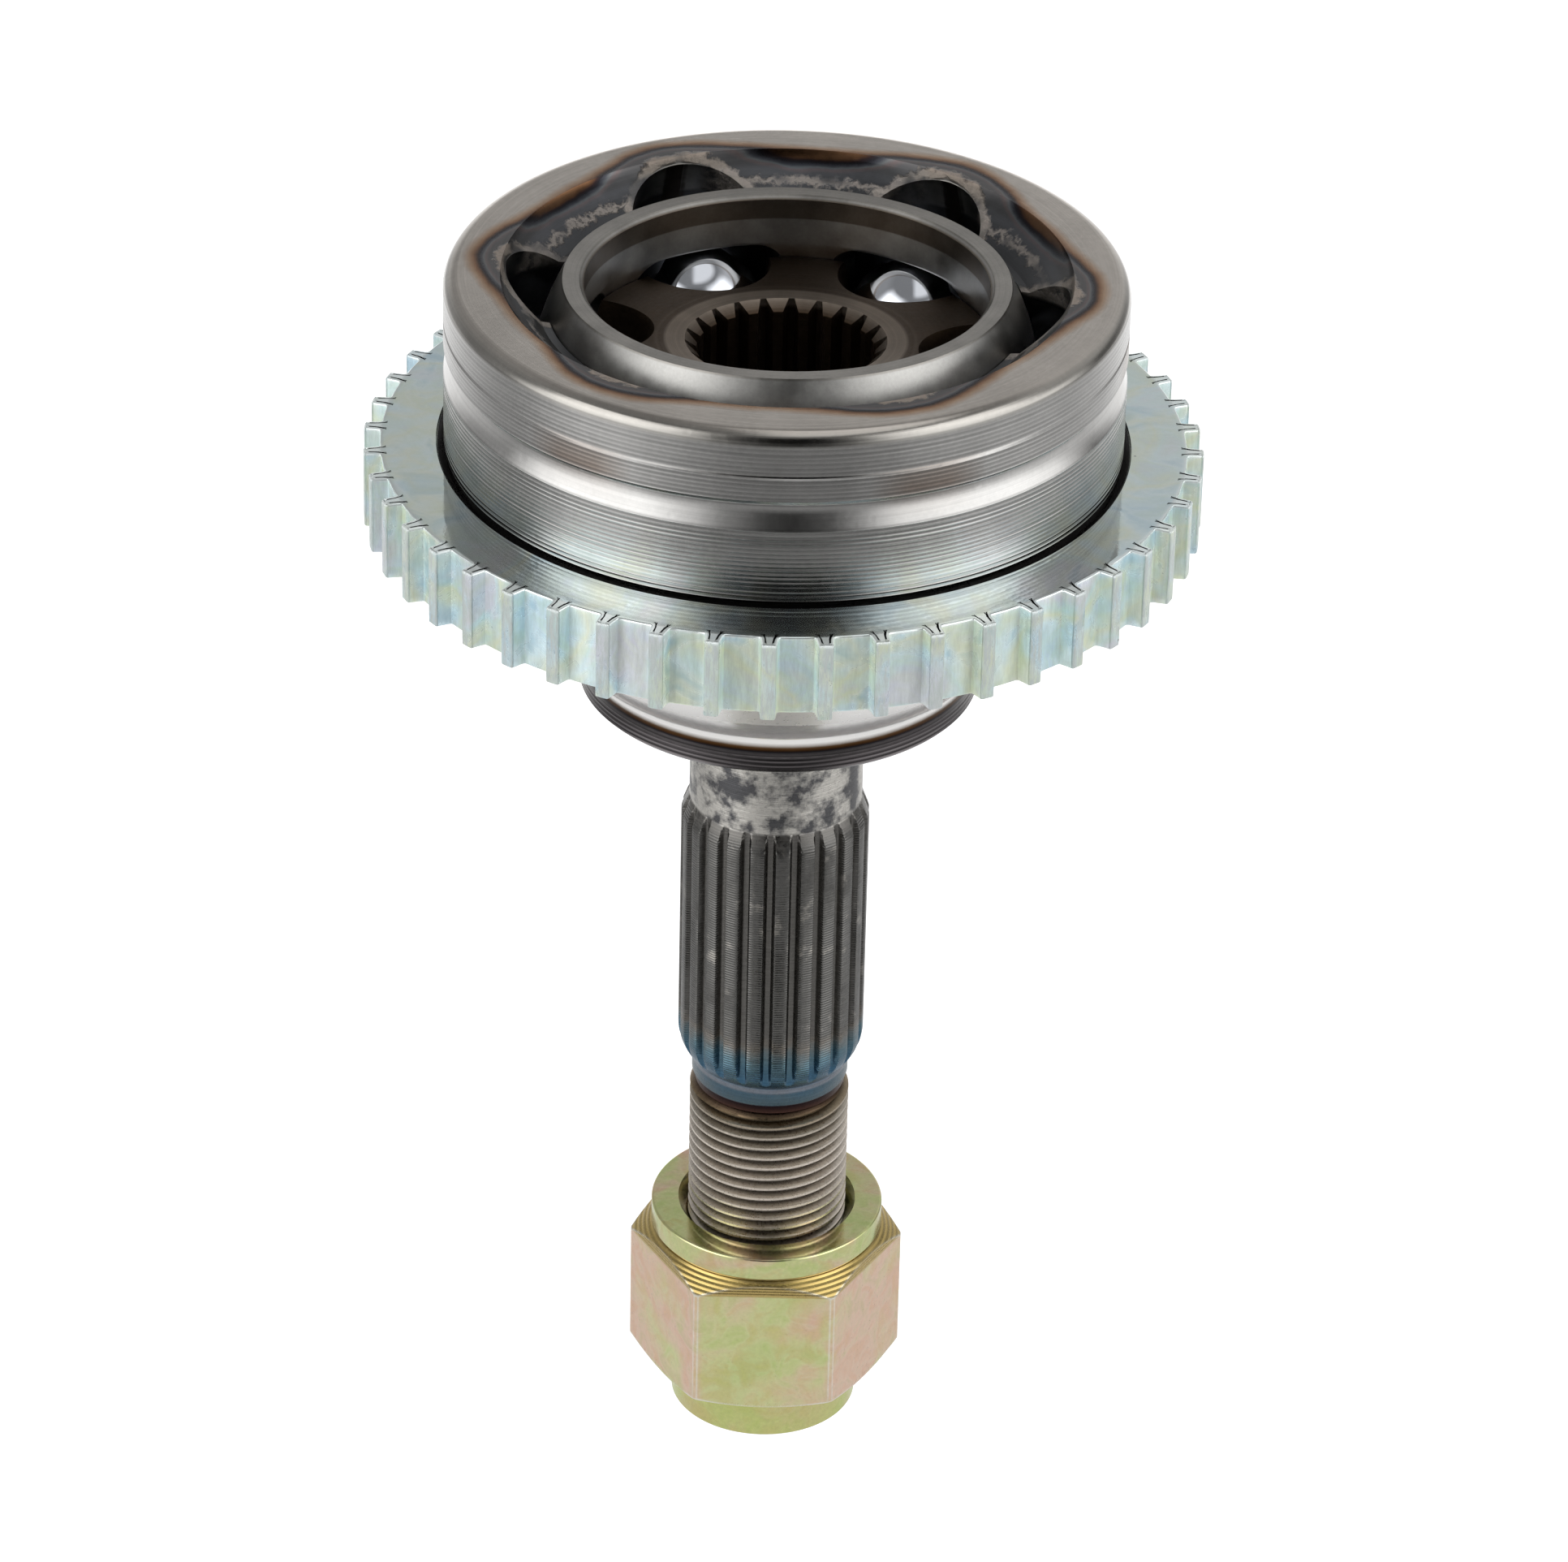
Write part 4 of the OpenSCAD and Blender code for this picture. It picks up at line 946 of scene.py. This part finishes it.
@dataclass
class OuterRace:
    """The bell with its ball tracks, and the stub under it: neck, hub spline and thread."""

    face: float = 16.0
    bell_r: float = 40.5
    rim_round: float = 1.8
    line_z: float = 10.4
    lip_z: float = 7.4
    groove_low: float = 3.5
    groove_depth: float = 0.7
    land_low: float = -5.5
    seat_r: float = 40.2
    skin_low: float = -8.0
    # The tool's feed is 0.39 mm a turn on the real wall, too fine for the render, so it is drawn at 0.56 mm
    ridge_pitch: float = 0.56
    ridge_depth: float = 0.036
    wall_columns: int = 200
    # How far the CAD solid's wall and band are drawn in under the skins that stand for them
    wall_gap: float = 0.25
    band_gap: float = 0.12
    shoulder: float = -38.0
    band_r: float = 24.2
    band_height: float = 2.9
    band_columns: int = 160
    neck_r: float = 10.6
    neck_low: float = -54.75
    neck_fillet: float = 1.5
    neck_feed: float = 0.26
    neck_furrow: float = 0.014
    neck_columns: int = 128
    spline_teeth: int = 23
    spline_first: float = 9.3
    spline_r: float = 11.55
    spline_low: float = -92.05
    spline_lead: float = 2.4
    spline_round: float = 4.2
    pilot_r: float = 9.75
    pilot_low: float = -94.7
    relief_r: float = 9.35
    thread_top: float = -95.85
    thread_r: float = 9.96
    thread_pitch: float = 1.5
    thread_depth: float = 0.9
    stub_end: float = -132.7
    thread_columns: int = 120
    thread_rows: int = 10

    def bell(self) -> bpy.types.Object:
        """The bell down to its shoulder, from the CAD solid, its outer wall drawn in under the turned skins."""
        bell = cad_copy("outer_race", "bell", above=self.shoulder - 0.02)
        points = coordinates(bell.data)
        r, z = np.hypot(points[:, 0], points[:, 1]) / MM, points[:, 2] / MM
        wall = (r > self.bell_r - self.rim_round + 0.05) & (z > self.land_low - 2) & (z < self.face - 0.005)
        band = (r > self.band_r - 0.05) & (z > self.shoulder + 0.05)
        band &= z < self.shoulder + self.band_height - 0.05
        points[:, :2] *= (1 - (self.wall_gap * wall + self.band_gap * band) / r)[:, None]
        bell.data.vertices.foreach_set("co", points.ravel())
        bell.data.update()
        return bell

    def ridges(self, radius: float, top: float, low: float, share: float = 1.0) -> list[tuple[float, float]]:
        """A turned wall's profile: a shallow round furrow for each turn of the tool, its depth a seeded draw.

        Args:
            radius: the wall's radius in mm.
            top: where the wall starts.
            low: where it ends.
            share: depth as a part of ridge_depth.

        Returns:
            Six points a furrow, r = radius - depth * (1 - (2u - 1)^2) for u from 0 to 1 across the furrow.
        """
        count = max(1, round((top - low) / self.ridge_pitch))
        draw = np.random.default_rng(round(100 * top) % 997 + 5)
        depth = self.ridge_depth * share * draw.uniform(0.7, 1.25, count)[:, None]
        u = np.arange(6)[None, :] / 6
        r = radius - depth * (1 - (2 * u - 1) ** 2)
        z = top - (np.arange(count)[:, None] + u) * (top - low) / count
        return [*zip(r.ravel().tolist(), z.ravel().tolist()), (radius, low)]

    def wall_skin(self) -> bpy.types.Object:
        """The bell's outer wall: rim, ridged lands, marking line, boot groove and the step to the ring's seat.

        The boot groove's floor rises by groove_depth * t ^ 1.6, t from 0 at its deep upper end to 1 below.
        """
        r, rim = self.bell_r, self.bell_r - self.rim_round
        deep = r - self.groove_depth
        profile = [(rim - 0.02, self.face - 0.05)]
        profile += arc((rim, self.face - self.rim_round), self.rim_round, 90, 0, 14)
        profile += self.ridges(r, self.face - self.rim_round - 0.1, self.line_z + 0.25, 0.55)
        profile += [(r - 0.25, self.line_z)]
        profile += self.ridges(r, self.line_z - 0.25, self.lip_z, 0.75)
        profile += [(r - 0.1, self.lip_z - 0.05), (deep + 0.08, self.lip_z - 0.6), (deep, self.lip_z - 0.85)]
        fall = self.lip_z - 0.85 - self.groove_low
        profile += [(deep + self.groove_depth * t ** 1.6, self.lip_z - 0.85 - t * fall)
                    for t in np.linspace(0.08, 0.97, 12)]
        profile += self.ridges(r, self.groove_low, self.land_low)
        profile += [(self.seat_r, self.land_low - 0.4), (self.seat_r - 0.02, self.skin_low),
                    (self.seat_r - 0.8, self.skin_low)]
        skin = grid_mesh("bell_wall", revolved(profile, self.wall_columns), sharp=24)
        # How deep each vertex lies in its furrow, 0 on a crest and 1 at the bottom, which the finish paints
        # darker as shade
        points = coordinates(skin.data)
        sunk = r - np.hypot(points[:, 0], points[:, 1]) / MM
        deepest = 0.06
        furrow = np.where(sunk < deepest, np.clip(sunk / self.ridge_depth, 0, 1), 0.0)
        skin.data.attributes.new("furrow", "FLOAT", "POINT").data.foreach_set("value", furrow)
        return skin

    def band_skin(self) -> bpy.types.Object:
        """The shoulder's band with its deeper turned lines."""
        low, top, r = self.shoulder, self.shoulder + self.band_height, self.band_r
        profile = [(r - 0.3, top), (r - 0.02, top - 0.02), *self.ridges(r, low + 2.3, low + 0.4, 1.6),
                   (r - 0.4, low), (r - 0.9, low)]
        return grid_mesh("band_wall", revolved(profile, self.band_columns), sharp=24)

    def neck(self) -> bpy.types.Object:
        """The neck: a hollow fillet under the shoulder, then a shank with a fine furrow for each tool turn."""
        top = self.shoulder - self.neck_fillet
        profile = [(0, self.shoulder + 0.02), (self.neck_r + self.neck_fillet + 0.3, self.shoulder + 0.02)]
        profile += arc((self.neck_r + self.neck_fillet, top), self.neck_fillet, 90, 180, 8)
        steps = round((top - self.neck_low) / self.neck_feed) * 4 + 1
        z = np.linspace(top - 0.1, self.neck_low, steps)
        r = self.neck_r - self.neck_furrow / 2 * (1 - np.cos(TAU * np.arange(steps) / 4))
        profile += list(zip(r.tolist(), z.tolist()))
        return grid_mesh("hub_neck", revolved([*profile, (0, self.neck_low)], self.neck_columns))

    def spline(self) -> bpy.types.Object:
        """The hub spline: straight-sided teeth that rise out of the neck and round off at the lower end.

        A tooth's half outline is (radius, half width) from its foot to its tip. The lower end is an arc of
        radius (round^2 + drop^2) / (2 drop) that falls by drop over the height round.
        """
        tooth = [(self.neck_r, 1.22), (self.neck_r + 0.05, 1.1), (self.neck_r + 0.2, 1.03),
                 (self.spline_r - 0.16, 0.89), (self.spline_r - 0.05, 0.84), (self.spline_r, 0.7),
                 (self.spline_r, 0.25)]
        angles, section = toothed(self.spline_teeth, tooth, self.neck_r, self.spline_first, 2)
        lead = self.neck_low - self.spline_lead * np.linspace(0, 1, 10) ** 1.15
        rise = self.neck_r + (self.spline_r + 0.02 - self.neck_r) * np.linspace(0, 1, 10)
        drop = self.spline_r - self.pilot_r
        big = (self.spline_round ** 2 + drop ** 2) / (2 * drop)
        turn = np.linspace(0, math.asin(self.spline_round / big), 12)
        foot = self.spline_low + self.spline_round
        levels = [(0.0, self.neck_low + 0.01), *zip(rise, lead)]
        levels += [(self.spline_r + 0.02, z) for z in np.linspace(lead[-1], foot, 26)[1:-1]]
        levels += list(zip(self.spline_r - big * (1 - np.cos(turn)), foot - big * np.sin(turn)))
        levels += [(0.0, self.spline_low)]
        return grid_mesh("hub_spline", outline_grid(levels, angles, section), sharp=40)

    def pilot(self) -> bpy.types.Object:
        """The smooth collar and the relief groove over the thread."""
        profile = [(0, self.spline_low + 0.01), (self.pilot_r, self.spline_low + 0.01),
                   (self.pilot_r, self.pilot_low + 0.25), (self.pilot_r - 0.15, self.pilot_low),
                   (self.relief_r, self.pilot_low - 0.1), (self.relief_r, self.thread_top + 0.2),
                   (self.relief_r, self.thread_top), (0, self.thread_top)]
        return grid_mesh("thread_relief", revolved(profile, self.band_columns))

    def thread(self) -> bpy.types.Object:
        """The thread: rows follow a right-hand helix, z = row + pitch * turn / 360, its crests and roots round.

        Each turn has ten rows, whose radius is the crest's less a cosine's share of the depth, and the ends are
        cut level, each with a chamfer. A row's last column meets the first column of the row a pitch, so ten
        rows, above it.
        """
        cols, per = self.thread_columns, self.thread_rows
        rows = (int((self.thread_top - self.stub_end) / self.thread_pitch) + 3) * per
        row = self.thread_top + self.thread_pitch - np.arange(rows)[:, None] * self.thread_pitch / per
        a = np.arange(cols) * TAU / cols
        z = row - self.thread_pitch + a / TAU * self.thread_pitch
        wave = 0.5 - 0.5 * np.cos(TAU * (row / self.thread_pitch))
        r = self.thread_r - self.thread_depth * np.clip(wave * 1.25 - 0.12, 0, 1)
        r = np.minimum(r, self.thread_r - 1.2 + (self.thread_top - z) * 1.2)
        r = np.minimum(r, self.thread_r - 1.1 + (z - self.stub_end))
        z = np.clip(z, self.stub_end, self.thread_top)
        points = np.stack([r * np.cos(a), r * np.sin(a), z], axis=-1).reshape(-1, 3)
        i, j = np.arange(rows - 1)[:, None], np.arange(cols - 1)[None, :]
        quads = np.stack([i * cols + j, (i + 1) * cols + j, (i + 1) * cols + j + 1, i * cols + j + 1], -1)
        k = np.arange(rows - 1 - per)
        last = (k + per) * cols + cols - 1
        seam = np.stack([last, last + cols, (k + 1) * cols, k * cols], -1)
        mesh = bpy.data.meshes.new("stub_thread")
        mesh.from_pydata((points * MM).tolist(), [], np.concatenate([quads.reshape(-1, 4), seam]).tolist())
        work = welded(mesh, SEAM)
        bmesh.ops.holes_fill(work, edges=[e for e in work.edges if e.is_boundary], sides=0)
        return smoothed(mesh, work, 50)

    def build(self) -> None:
        """Makes and dresses the pieces."""
        turned = TurnedForging().make()
        place(self.bell(), Body.BELL, Slot.FORGED, turned, "outer_race")
        place(self.wall_skin(), Body.BELL, Slot.FORGED, turned)
        place(self.band_skin(), Body.BELL, Slot.FORGED, turned)
        stub = StubSteel().make()
        for piece in (self.neck(), self.spline(), self.pilot(), self.thread()):
            place(piece, Body.BELL, Slot.FORGED, stub)


@dataclass
class ToneRing:
    """The toothed ring pressed on the bell."""

    teeth: int = 48
    first: float = -91.3
    seat_r: float = 40.2
    root_r: float = 48.05
    tip_r: float = 50.05
    tip_w: float = 1.75
    foot_w: float = 2.1
    bevel: float = 0.25
    top: float = -5.9
    low: float = -15.8
    inner_chamfer: float = 1.2
    edge: float = 0.22
    chip: float = 0.3
    corner: float = 0.42

    def build(self) -> None:
        """Makes the ring: the toothed section is carried down, drawn in by an edge radius at top and bottom.

        Each row is (inset, height), the inset along the section's inward normal. The hole is a plain cylinder
        with a chamfer at the top, and a flat shelf joins it to the teeth.
        """
        tooth = [(self.root_r, self.foot_w / 2 + 0.22), (self.root_r + 0.06, self.foot_w / 2 + 0.07),
                 (self.root_r + 0.25, self.foot_w / 2 - 0.02), (self.tip_r - self.bevel, self.tip_w / 2),
                 (self.tip_r - self.bevel / 3, self.tip_w / 2 - self.bevel / 3),
                 (self.tip_r, self.tip_w / 2 - self.bevel), (self.tip_r, 0.2)]
        angles, section = toothed(self.teeth, tooth, self.root_r, self.first, 4)
        flat = np.stack([section * np.cos(angles), section * np.sin(angles)], -1)
        before, after = np.roll(flat, 1, 0), np.roll(flat, -1, 0)
        along = (after - before) / np.linalg.norm(after - before, axis=1, keepdims=True)
        inward = np.stack([-along[:, 1], along[:, 0]], -1)
        rows = []
        for step in range(5):
            t = math.radians(22.5 * step)
            rows.append((self.edge * (1 - math.sin(t)), self.top - self.edge * (1 - math.cos(t))))
        rows += [(0.0, z) for z in np.linspace(self.top - self.edge, self.low + self.edge, 12)[1:-1]]
        rows += [(inset, self.low + self.top - z) for inset, z in reversed(rows[:5])]
        level = np.ones((len(flat), 1))
        outer = np.stack([np.concatenate([flat + inward * inset, level * z], 1) for inset, z in rows])
        ray = np.stack([np.cos(angles), np.sin(angles)], -1)
        # Sheared tips: the press leaves ragged upper edges and rounds the lower corners
        draw = np.random.default_rng(11)
        tips = section > self.tip_r - 0.4
        crest = section > self.tip_r - 0.12
        chips = draw.uniform(0, self.chip, len(flat)) ** 1.5 * crest * 0.6
        chips = (chips + 0.5 * np.roll(chips, 1) + 0.5 * np.roll(chips, -1)) / 2
        for k in range(5):
            outer[k, :, 2] -= chips * (1 - 0.15 * k)
            outer[k, :, :2] += inward * (chips * (0.4 - 0.08 * k))[:, None]
            outer[-1 - k, :, :2] += inward * (self.corner * tips * (1 - k / 5) ** 2)[:, None]
        hole = [(self.seat_r, self.low), (self.seat_r, self.top - self.inner_chamfer),
                (self.seat_r + self.inner_chamfer, self.top), (self.root_r - 0.7, self.top)]
        inner = np.stack([np.concatenate([ray * r, level * z], 1) for r, z in hole])
        shelf = np.concatenate([flat + inward * 0.6, level * self.top], 1)[None]
        ring = grid_mesh("abs_ring", np.concatenate([outer, inner, shelf]), wrap_rows=True, sharp=30)
        place(ring, Body.BELL, Slot.RING, ClearZinc().make(), "abs_tone_ring")


@dataclass
class Internals:
    """The cage, the inner race and the six balls."""

    balls: int = 6

    def build(self) -> None:
        """Dresses the cage and race from their CAD solids and polishes the balls."""
        place(cad_copy("ball_cage", "cage"), Body.CAGE, Slot.CAGE, GroundCage().make(), "ball_cage")
        place(cad_copy("inner_race", "race"), Body.RACE, Slot.RACE, BrownedRace().make(), "inner_race")
        mirror = PolishedBall().make()
        for k in range(1, self.balls + 1):
            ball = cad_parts[f"ball_{k}"]
            ball.data.materials.clear()
            ball.data.materials.append(mirror)
            ball.data.shade_smooth()
            LOG.info("%s: %s", ball.name, mirror.name)


@dataclass
class HubNut:
    """The hub nut, with a collar at each end."""

    sharp: float = 20.0

    def build(self) -> None:
        """Dresses the nut from its CAD solid, its shallow chamfers kept sharp."""
        place(cad_copy("hub_nut", "nut", sharp=self.sharp), Body.NUT, Slot.NUT, YellowZinc().make(), "hub_nut")


@dataclass
class Studio:
    """Pale floor, soft boxes, white background and the photograph's camera."""

    floor_z: float = -143.4
    focal_px: float = 8850.03
    width_px: float = 1932.0
    distance: float = 847.309
    elevation: float = 26.7826
    roll: float = 1.29944
    shift_x: float = 3.9066
    shift_y: float = -604.875
    rim_z: float = 13.86
    mirror_strength: float = 1.3
    sheet_mirror: float = 0.8
    card_r: float = 165.0
    # How far the nut comes down when it is unscrewed, so that it never sinks into the floor
    nut_drop: float = 20.6

    def floor(self) -> None:
        """A wide pale sheet as far under the nut as it can be unscrewed, white to the camera and still shaded.

        It is seen from above alone: from below it is clear.
        """
        points = revolved([(r, self.floor_z - self.nut_drop) for r in (0.0, 60.0, 200.0, 800.0, 3000.0)], 64)
        floor = grid_mesh("floor", points)
        material, tree = new_material("pale sheet")
        camera_ray = add(tree, "LightPath").outputs["Is Camera Ray"]
        shine = add(tree, "Math", {0: camera_ray, 1: 0.35}, operation="MULTIPLY")
        sheet = add(tree, "BsdfPrincipled", {"Base Color": "#f2f2f2", "Roughness": 0.9,
                                             "Emission Color": "#ffffff", "Emission Strength": shine})
        under = add(tree, "NewGeometry").outputs["Backfacing"]
        shader = add(tree, "MixShader", {0: under, 1: sheet, 2: add(tree, "BsdfTransparent")})
        add(tree, "OutputMaterial", {"Surface": shader})
        floor.data.materials.append(material)
        floor.visible_glossy = False
        floor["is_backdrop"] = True

    def card(self) -> None:
        """A round white card that only mirrors see: the lit sheet close under the nut and the stub."""
        points = revolved([(x, self.floor_z + 0.02) for x in (self.card_r, self.card_r * 0.7, 60.0, 0.0)], 64)
        card = grid_mesh("card", points)
        material, tree = new_material("white card")
        fade = add(tree, "MapRange", {"Value": Place.of(tree).radius, 1: 120.0, 2: self.card_r,
                                      3: self.sheet_mirror, 4: 0.4})
        add(tree, "OutputMaterial", {"Surface": add(tree, "Emission", {"Color": "#ffffff", "Strength": fade})})
        card.data.materials.append(material)
        card.visible_camera = card.visible_diffuse = False
        card.visible_shadow = card.visible_transmission = False
        card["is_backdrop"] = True

    def world(self) -> None:
        """White to the camera, dimmer as light, and the room round the joint to what is mirrored."""
        world = bpy.data.worlds.new("studio")
        bpy.context.scene.world = world
        world.use_nodes = True
        tree = world.node_tree
        tree.nodes.clear()
        path = add(tree, "LightPath")
        sees = add(tree, "Math", {0: path.outputs["Is Glossy Ray"], 1: path.outputs["Is Transmission Ray"]},
                   operation="MAXIMUM")
        where = add(tree, "SeparateXYZ", {0: add(tree, "TexCoord").outputs["Generated"]})
        ahead = add(tree, "Math", {0: where.outputs["Y"], 1: -1.0}, operation="MULTIPLY")
        round_about = add(tree, "Math", {0: where.outputs["X"], 1: ahead}, operation="ARCTAN2")
        round_about = add(tree, "MapRange", {"Value": round_about, 1: -math.pi, 2: math.pi})
        # What a wall mirrors, by degrees round from the front: white behind, a box on either side, dark between
        boxes = add(tree, "ValToRGB", {0: round_about}, stops=spread(
            -180, 180, (-180, "#e7e7e7"), (-160, "#a6a6a6"), (-140, "#8b8b8b"), (-120, "#6c6c6c"),
            (-98, "#7c7c7c"), (-82, "#ececec"), (-60, "#ffffff"), (-42, "#f2f2f2"), (-30, "#bcbcbc"),
            (-20, "#767676"), (-6, "#3a3a3a"), (4, "#262626"), (16, "#464646"), (26, "#898989"),
            (36, "#d2d2d2"), (48, "#e9e9e9"), (62, "#f6f6f6"), (82, "#f3f3f3"), (98, "#dadada"),
            (108, "#a0a0a0"), (118, "#505050"), (130, "#595959"), (145, "#7c7c7c"), (165, "#b3b3b3"),
            (180, "#e7e7e7")))
        boxed = add(tree, "Math", {0: boxes, 1: 1.8}, operation="MULTIPLY")
        # The same round, seen on the table below the horizon: softer, and dimmer on the right
        table = add(tree, "ValToRGB", {0: round_about}, stops=spread(
            -180, 180, (-180, "#ffffff"), (-160, "#fbfbfb"), (-140, "#e6e6e6"), (-120, "#bcbcbc"),
            (-100, "#9c9c9c"), (-80, "#c4c4c4"), (-60, "#f8f8f8"), (-40, "#bcbcbc"), (-20, "#8c8c8c"),
            (0, "#8c8c8c"), (20, "#8e8e8e"), (40, "#a4a4a4"), (60, "#c0c0c0"), (80, "#cccccc"),
            (100, "#cacaca"), (120, "#c8c8c8"), (140, "#eaeaea"), (160, "#ffffff"), (180, "#ffffff")))
        level = add(tree, "MapRange", {"Value": where.outputs["Z"], 1: -0.62, 2: -0.3, 3: 0.74, 4: 1.15})
        table = add(tree, "Math", {0: table, 1: level}, operation="MULTIPLY")
        low = add(tree, "MapRange", {"Value": where.outputs["Z"], 1: -0.12, 2: -0.3})
        mirrored = add(tree, "Mix", {0: low, 2: boxed, 3: table}, data_type="FLOAT")
        # Above the horizon: the boxes in front, a slope from left to right behind, grey over it, a box overhead
        behind = add(tree, "MapRange", {"Value": where.outputs["X"], 1: -0.2, 2: 0.2, 3: 0.32, 4: 0.52})
        front = add(tree, "MapRange", {"Value": where.outputs["Y"], 1: 0.15, 2: -0.15})
        keen = add(tree, "Math", {0: boxed, 1: 1.5}, operation="POWER")
        sky = add(tree, "Mix", {0: front, 2: behind, 3: keen}, data_type="FLOAT")
        top = add(tree, "MapRange", {"Value": where.outputs["Z"], 1: 0.7, 2: 0.84})
        sky = add(tree, "Mix", {0: top, 2: sky.outputs[0], 3: 0.24}, data_type="FLOAT")
        over = add(tree, "MapRange", {"Value": where.outputs["Z"], 1: 0.86, 2: 0.92})
        right = add(tree, "MapRange", {"Value": where.outputs["X"], 1: -0.12, 2: 0.0})
        over = add(tree, "Math", {0: over, 1: right}, operation="MULTIPLY")
        sky = add(tree, "Mix", {0: over, 2: sky.outputs[0], 3: 0.9}, data_type="FLOAT")
        high = add(tree, "MapRange", {"Value": where.outputs["Z"], 1: 0.12, 2: 0.35})
        mirrored = add(tree, "Mix", {0: high, 2: mirrored.outputs[0], 3: sky.outputs[0]}, data_type="FLOAT")
        mirrored = add(tree, "Math", {0: mirrored.outputs[0], 1: self.mirror_strength}, operation="MULTIPLY")
        strength = add(tree, "Mix", {0: sees, 2: 0.7, 3: mirrored}, data_type="FLOAT")
        strength = add(tree, "Mix", {0: path.outputs["Is Camera Ray"], 2: strength.outputs[0], 3: 1.0},
                       data_type="FLOAT")
        light = add(tree, "Background", {"Color": "#ffffff", "Strength": strength.outputs[0]})
        add(tree, "OutputWorld", {"Surface": light})
        world.cycles.sampling_method = "NONE"

    def lamp(self, name: str, at: tuple[float, float, float], size: tuple[float, float], power: float) -> None:
        """A soft box that looks at the joint; place and size in metres, power in watts."""
        data = bpy.data.lights.new(name, "AREA")
        data.shape, data.size, data.size_y, data.energy = "RECTANGLE", size[0], size[1], power
        obj = bpy.data.objects.new(name, data)
        obj.location = at
        obj.rotation_mode = "QUATERNION"
        obj.rotation_quaternion = (Vector((0, 0, -0.03)) - Vector(at)).to_track_quat("-Z", "Y")
        obj.visible_glossy = False
        bpy.context.scene.collection.objects.link(obj)

    def camera(self) -> None:
        """The camera recovered from the photograph: its place round the rim, then its roll, yaw and pitch."""
        e, roll = math.radians(self.elevation), math.radians(self.roll)
        back = Vector((0, -math.cos(e), math.sin(e)))
        ahead, right = -back, Vector((1, 0, 0))
        up = right.cross(ahead)
        right, up = right * math.cos(roll) + up * math.sin(roll), up * math.cos(roll) - right * math.sin(roll)
        yaw = math.atan2(self.shift_x, self.focal_px)
        pitch = math.atan2(self.shift_y, math.hypot(self.focal_px, self.shift_x))
        ahead, right = (ahead * math.cos(yaw) - right * math.sin(yaw),
                        right * math.cos(yaw) + ahead * math.sin(yaw))
        ahead, up = (ahead * math.cos(pitch) + up * math.sin(pitch),
                     up * math.cos(pitch) - ahead * math.sin(pitch))
        data = bpy.data.cameras.new("camera")
        data.sensor_width = 36
        data.lens = self.focal_px * 36 / self.width_px
        data.clip_start, data.clip_end = 0.05, 20
        obj = bpy.data.objects.new("camera", data)
        place_at = (back * self.distance + Vector((0, 0, self.rim_z))) * MM
        turn = Matrix((right, up, -ahead)).transposed().to_4x4()
        obj.matrix_world = Matrix.Translation(place_at) @ turn
        bpy.context.scene.collection.objects.link(obj)
        bpy.context.scene.camera = obj

    def build(self) -> None:
        """Sets up the studio."""
        bpy.context.scene.view_settings.view_transform = "Standard"
        self.camera()
        self.floor()
        self.card()
        self.world()
        self.lamp("left box", (-0.75, -0.55, 0.30), (0.35, 0.9), 2.6)
        self.lamp("right box", (0.80, -0.50, 0.30), (0.35, 0.9), 2.6)
        self.lamp("top box", (0.0, 0.25, 0.95), (0.7, 0.5), 2.5)


def main() -> None:
    """Builds the studio, with its floor set from the CAD box, and the pieces."""
    logging.basicConfig(level=logging.INFO, format="%(name)s: %(message)s")
    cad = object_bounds()
    for part in (Studio(floor_z=cad[0][2] / MM), OuterRace(), ToneRing(), Internals(), HubNut()):
        part.build()


if __name__ == "__main__":
    main()
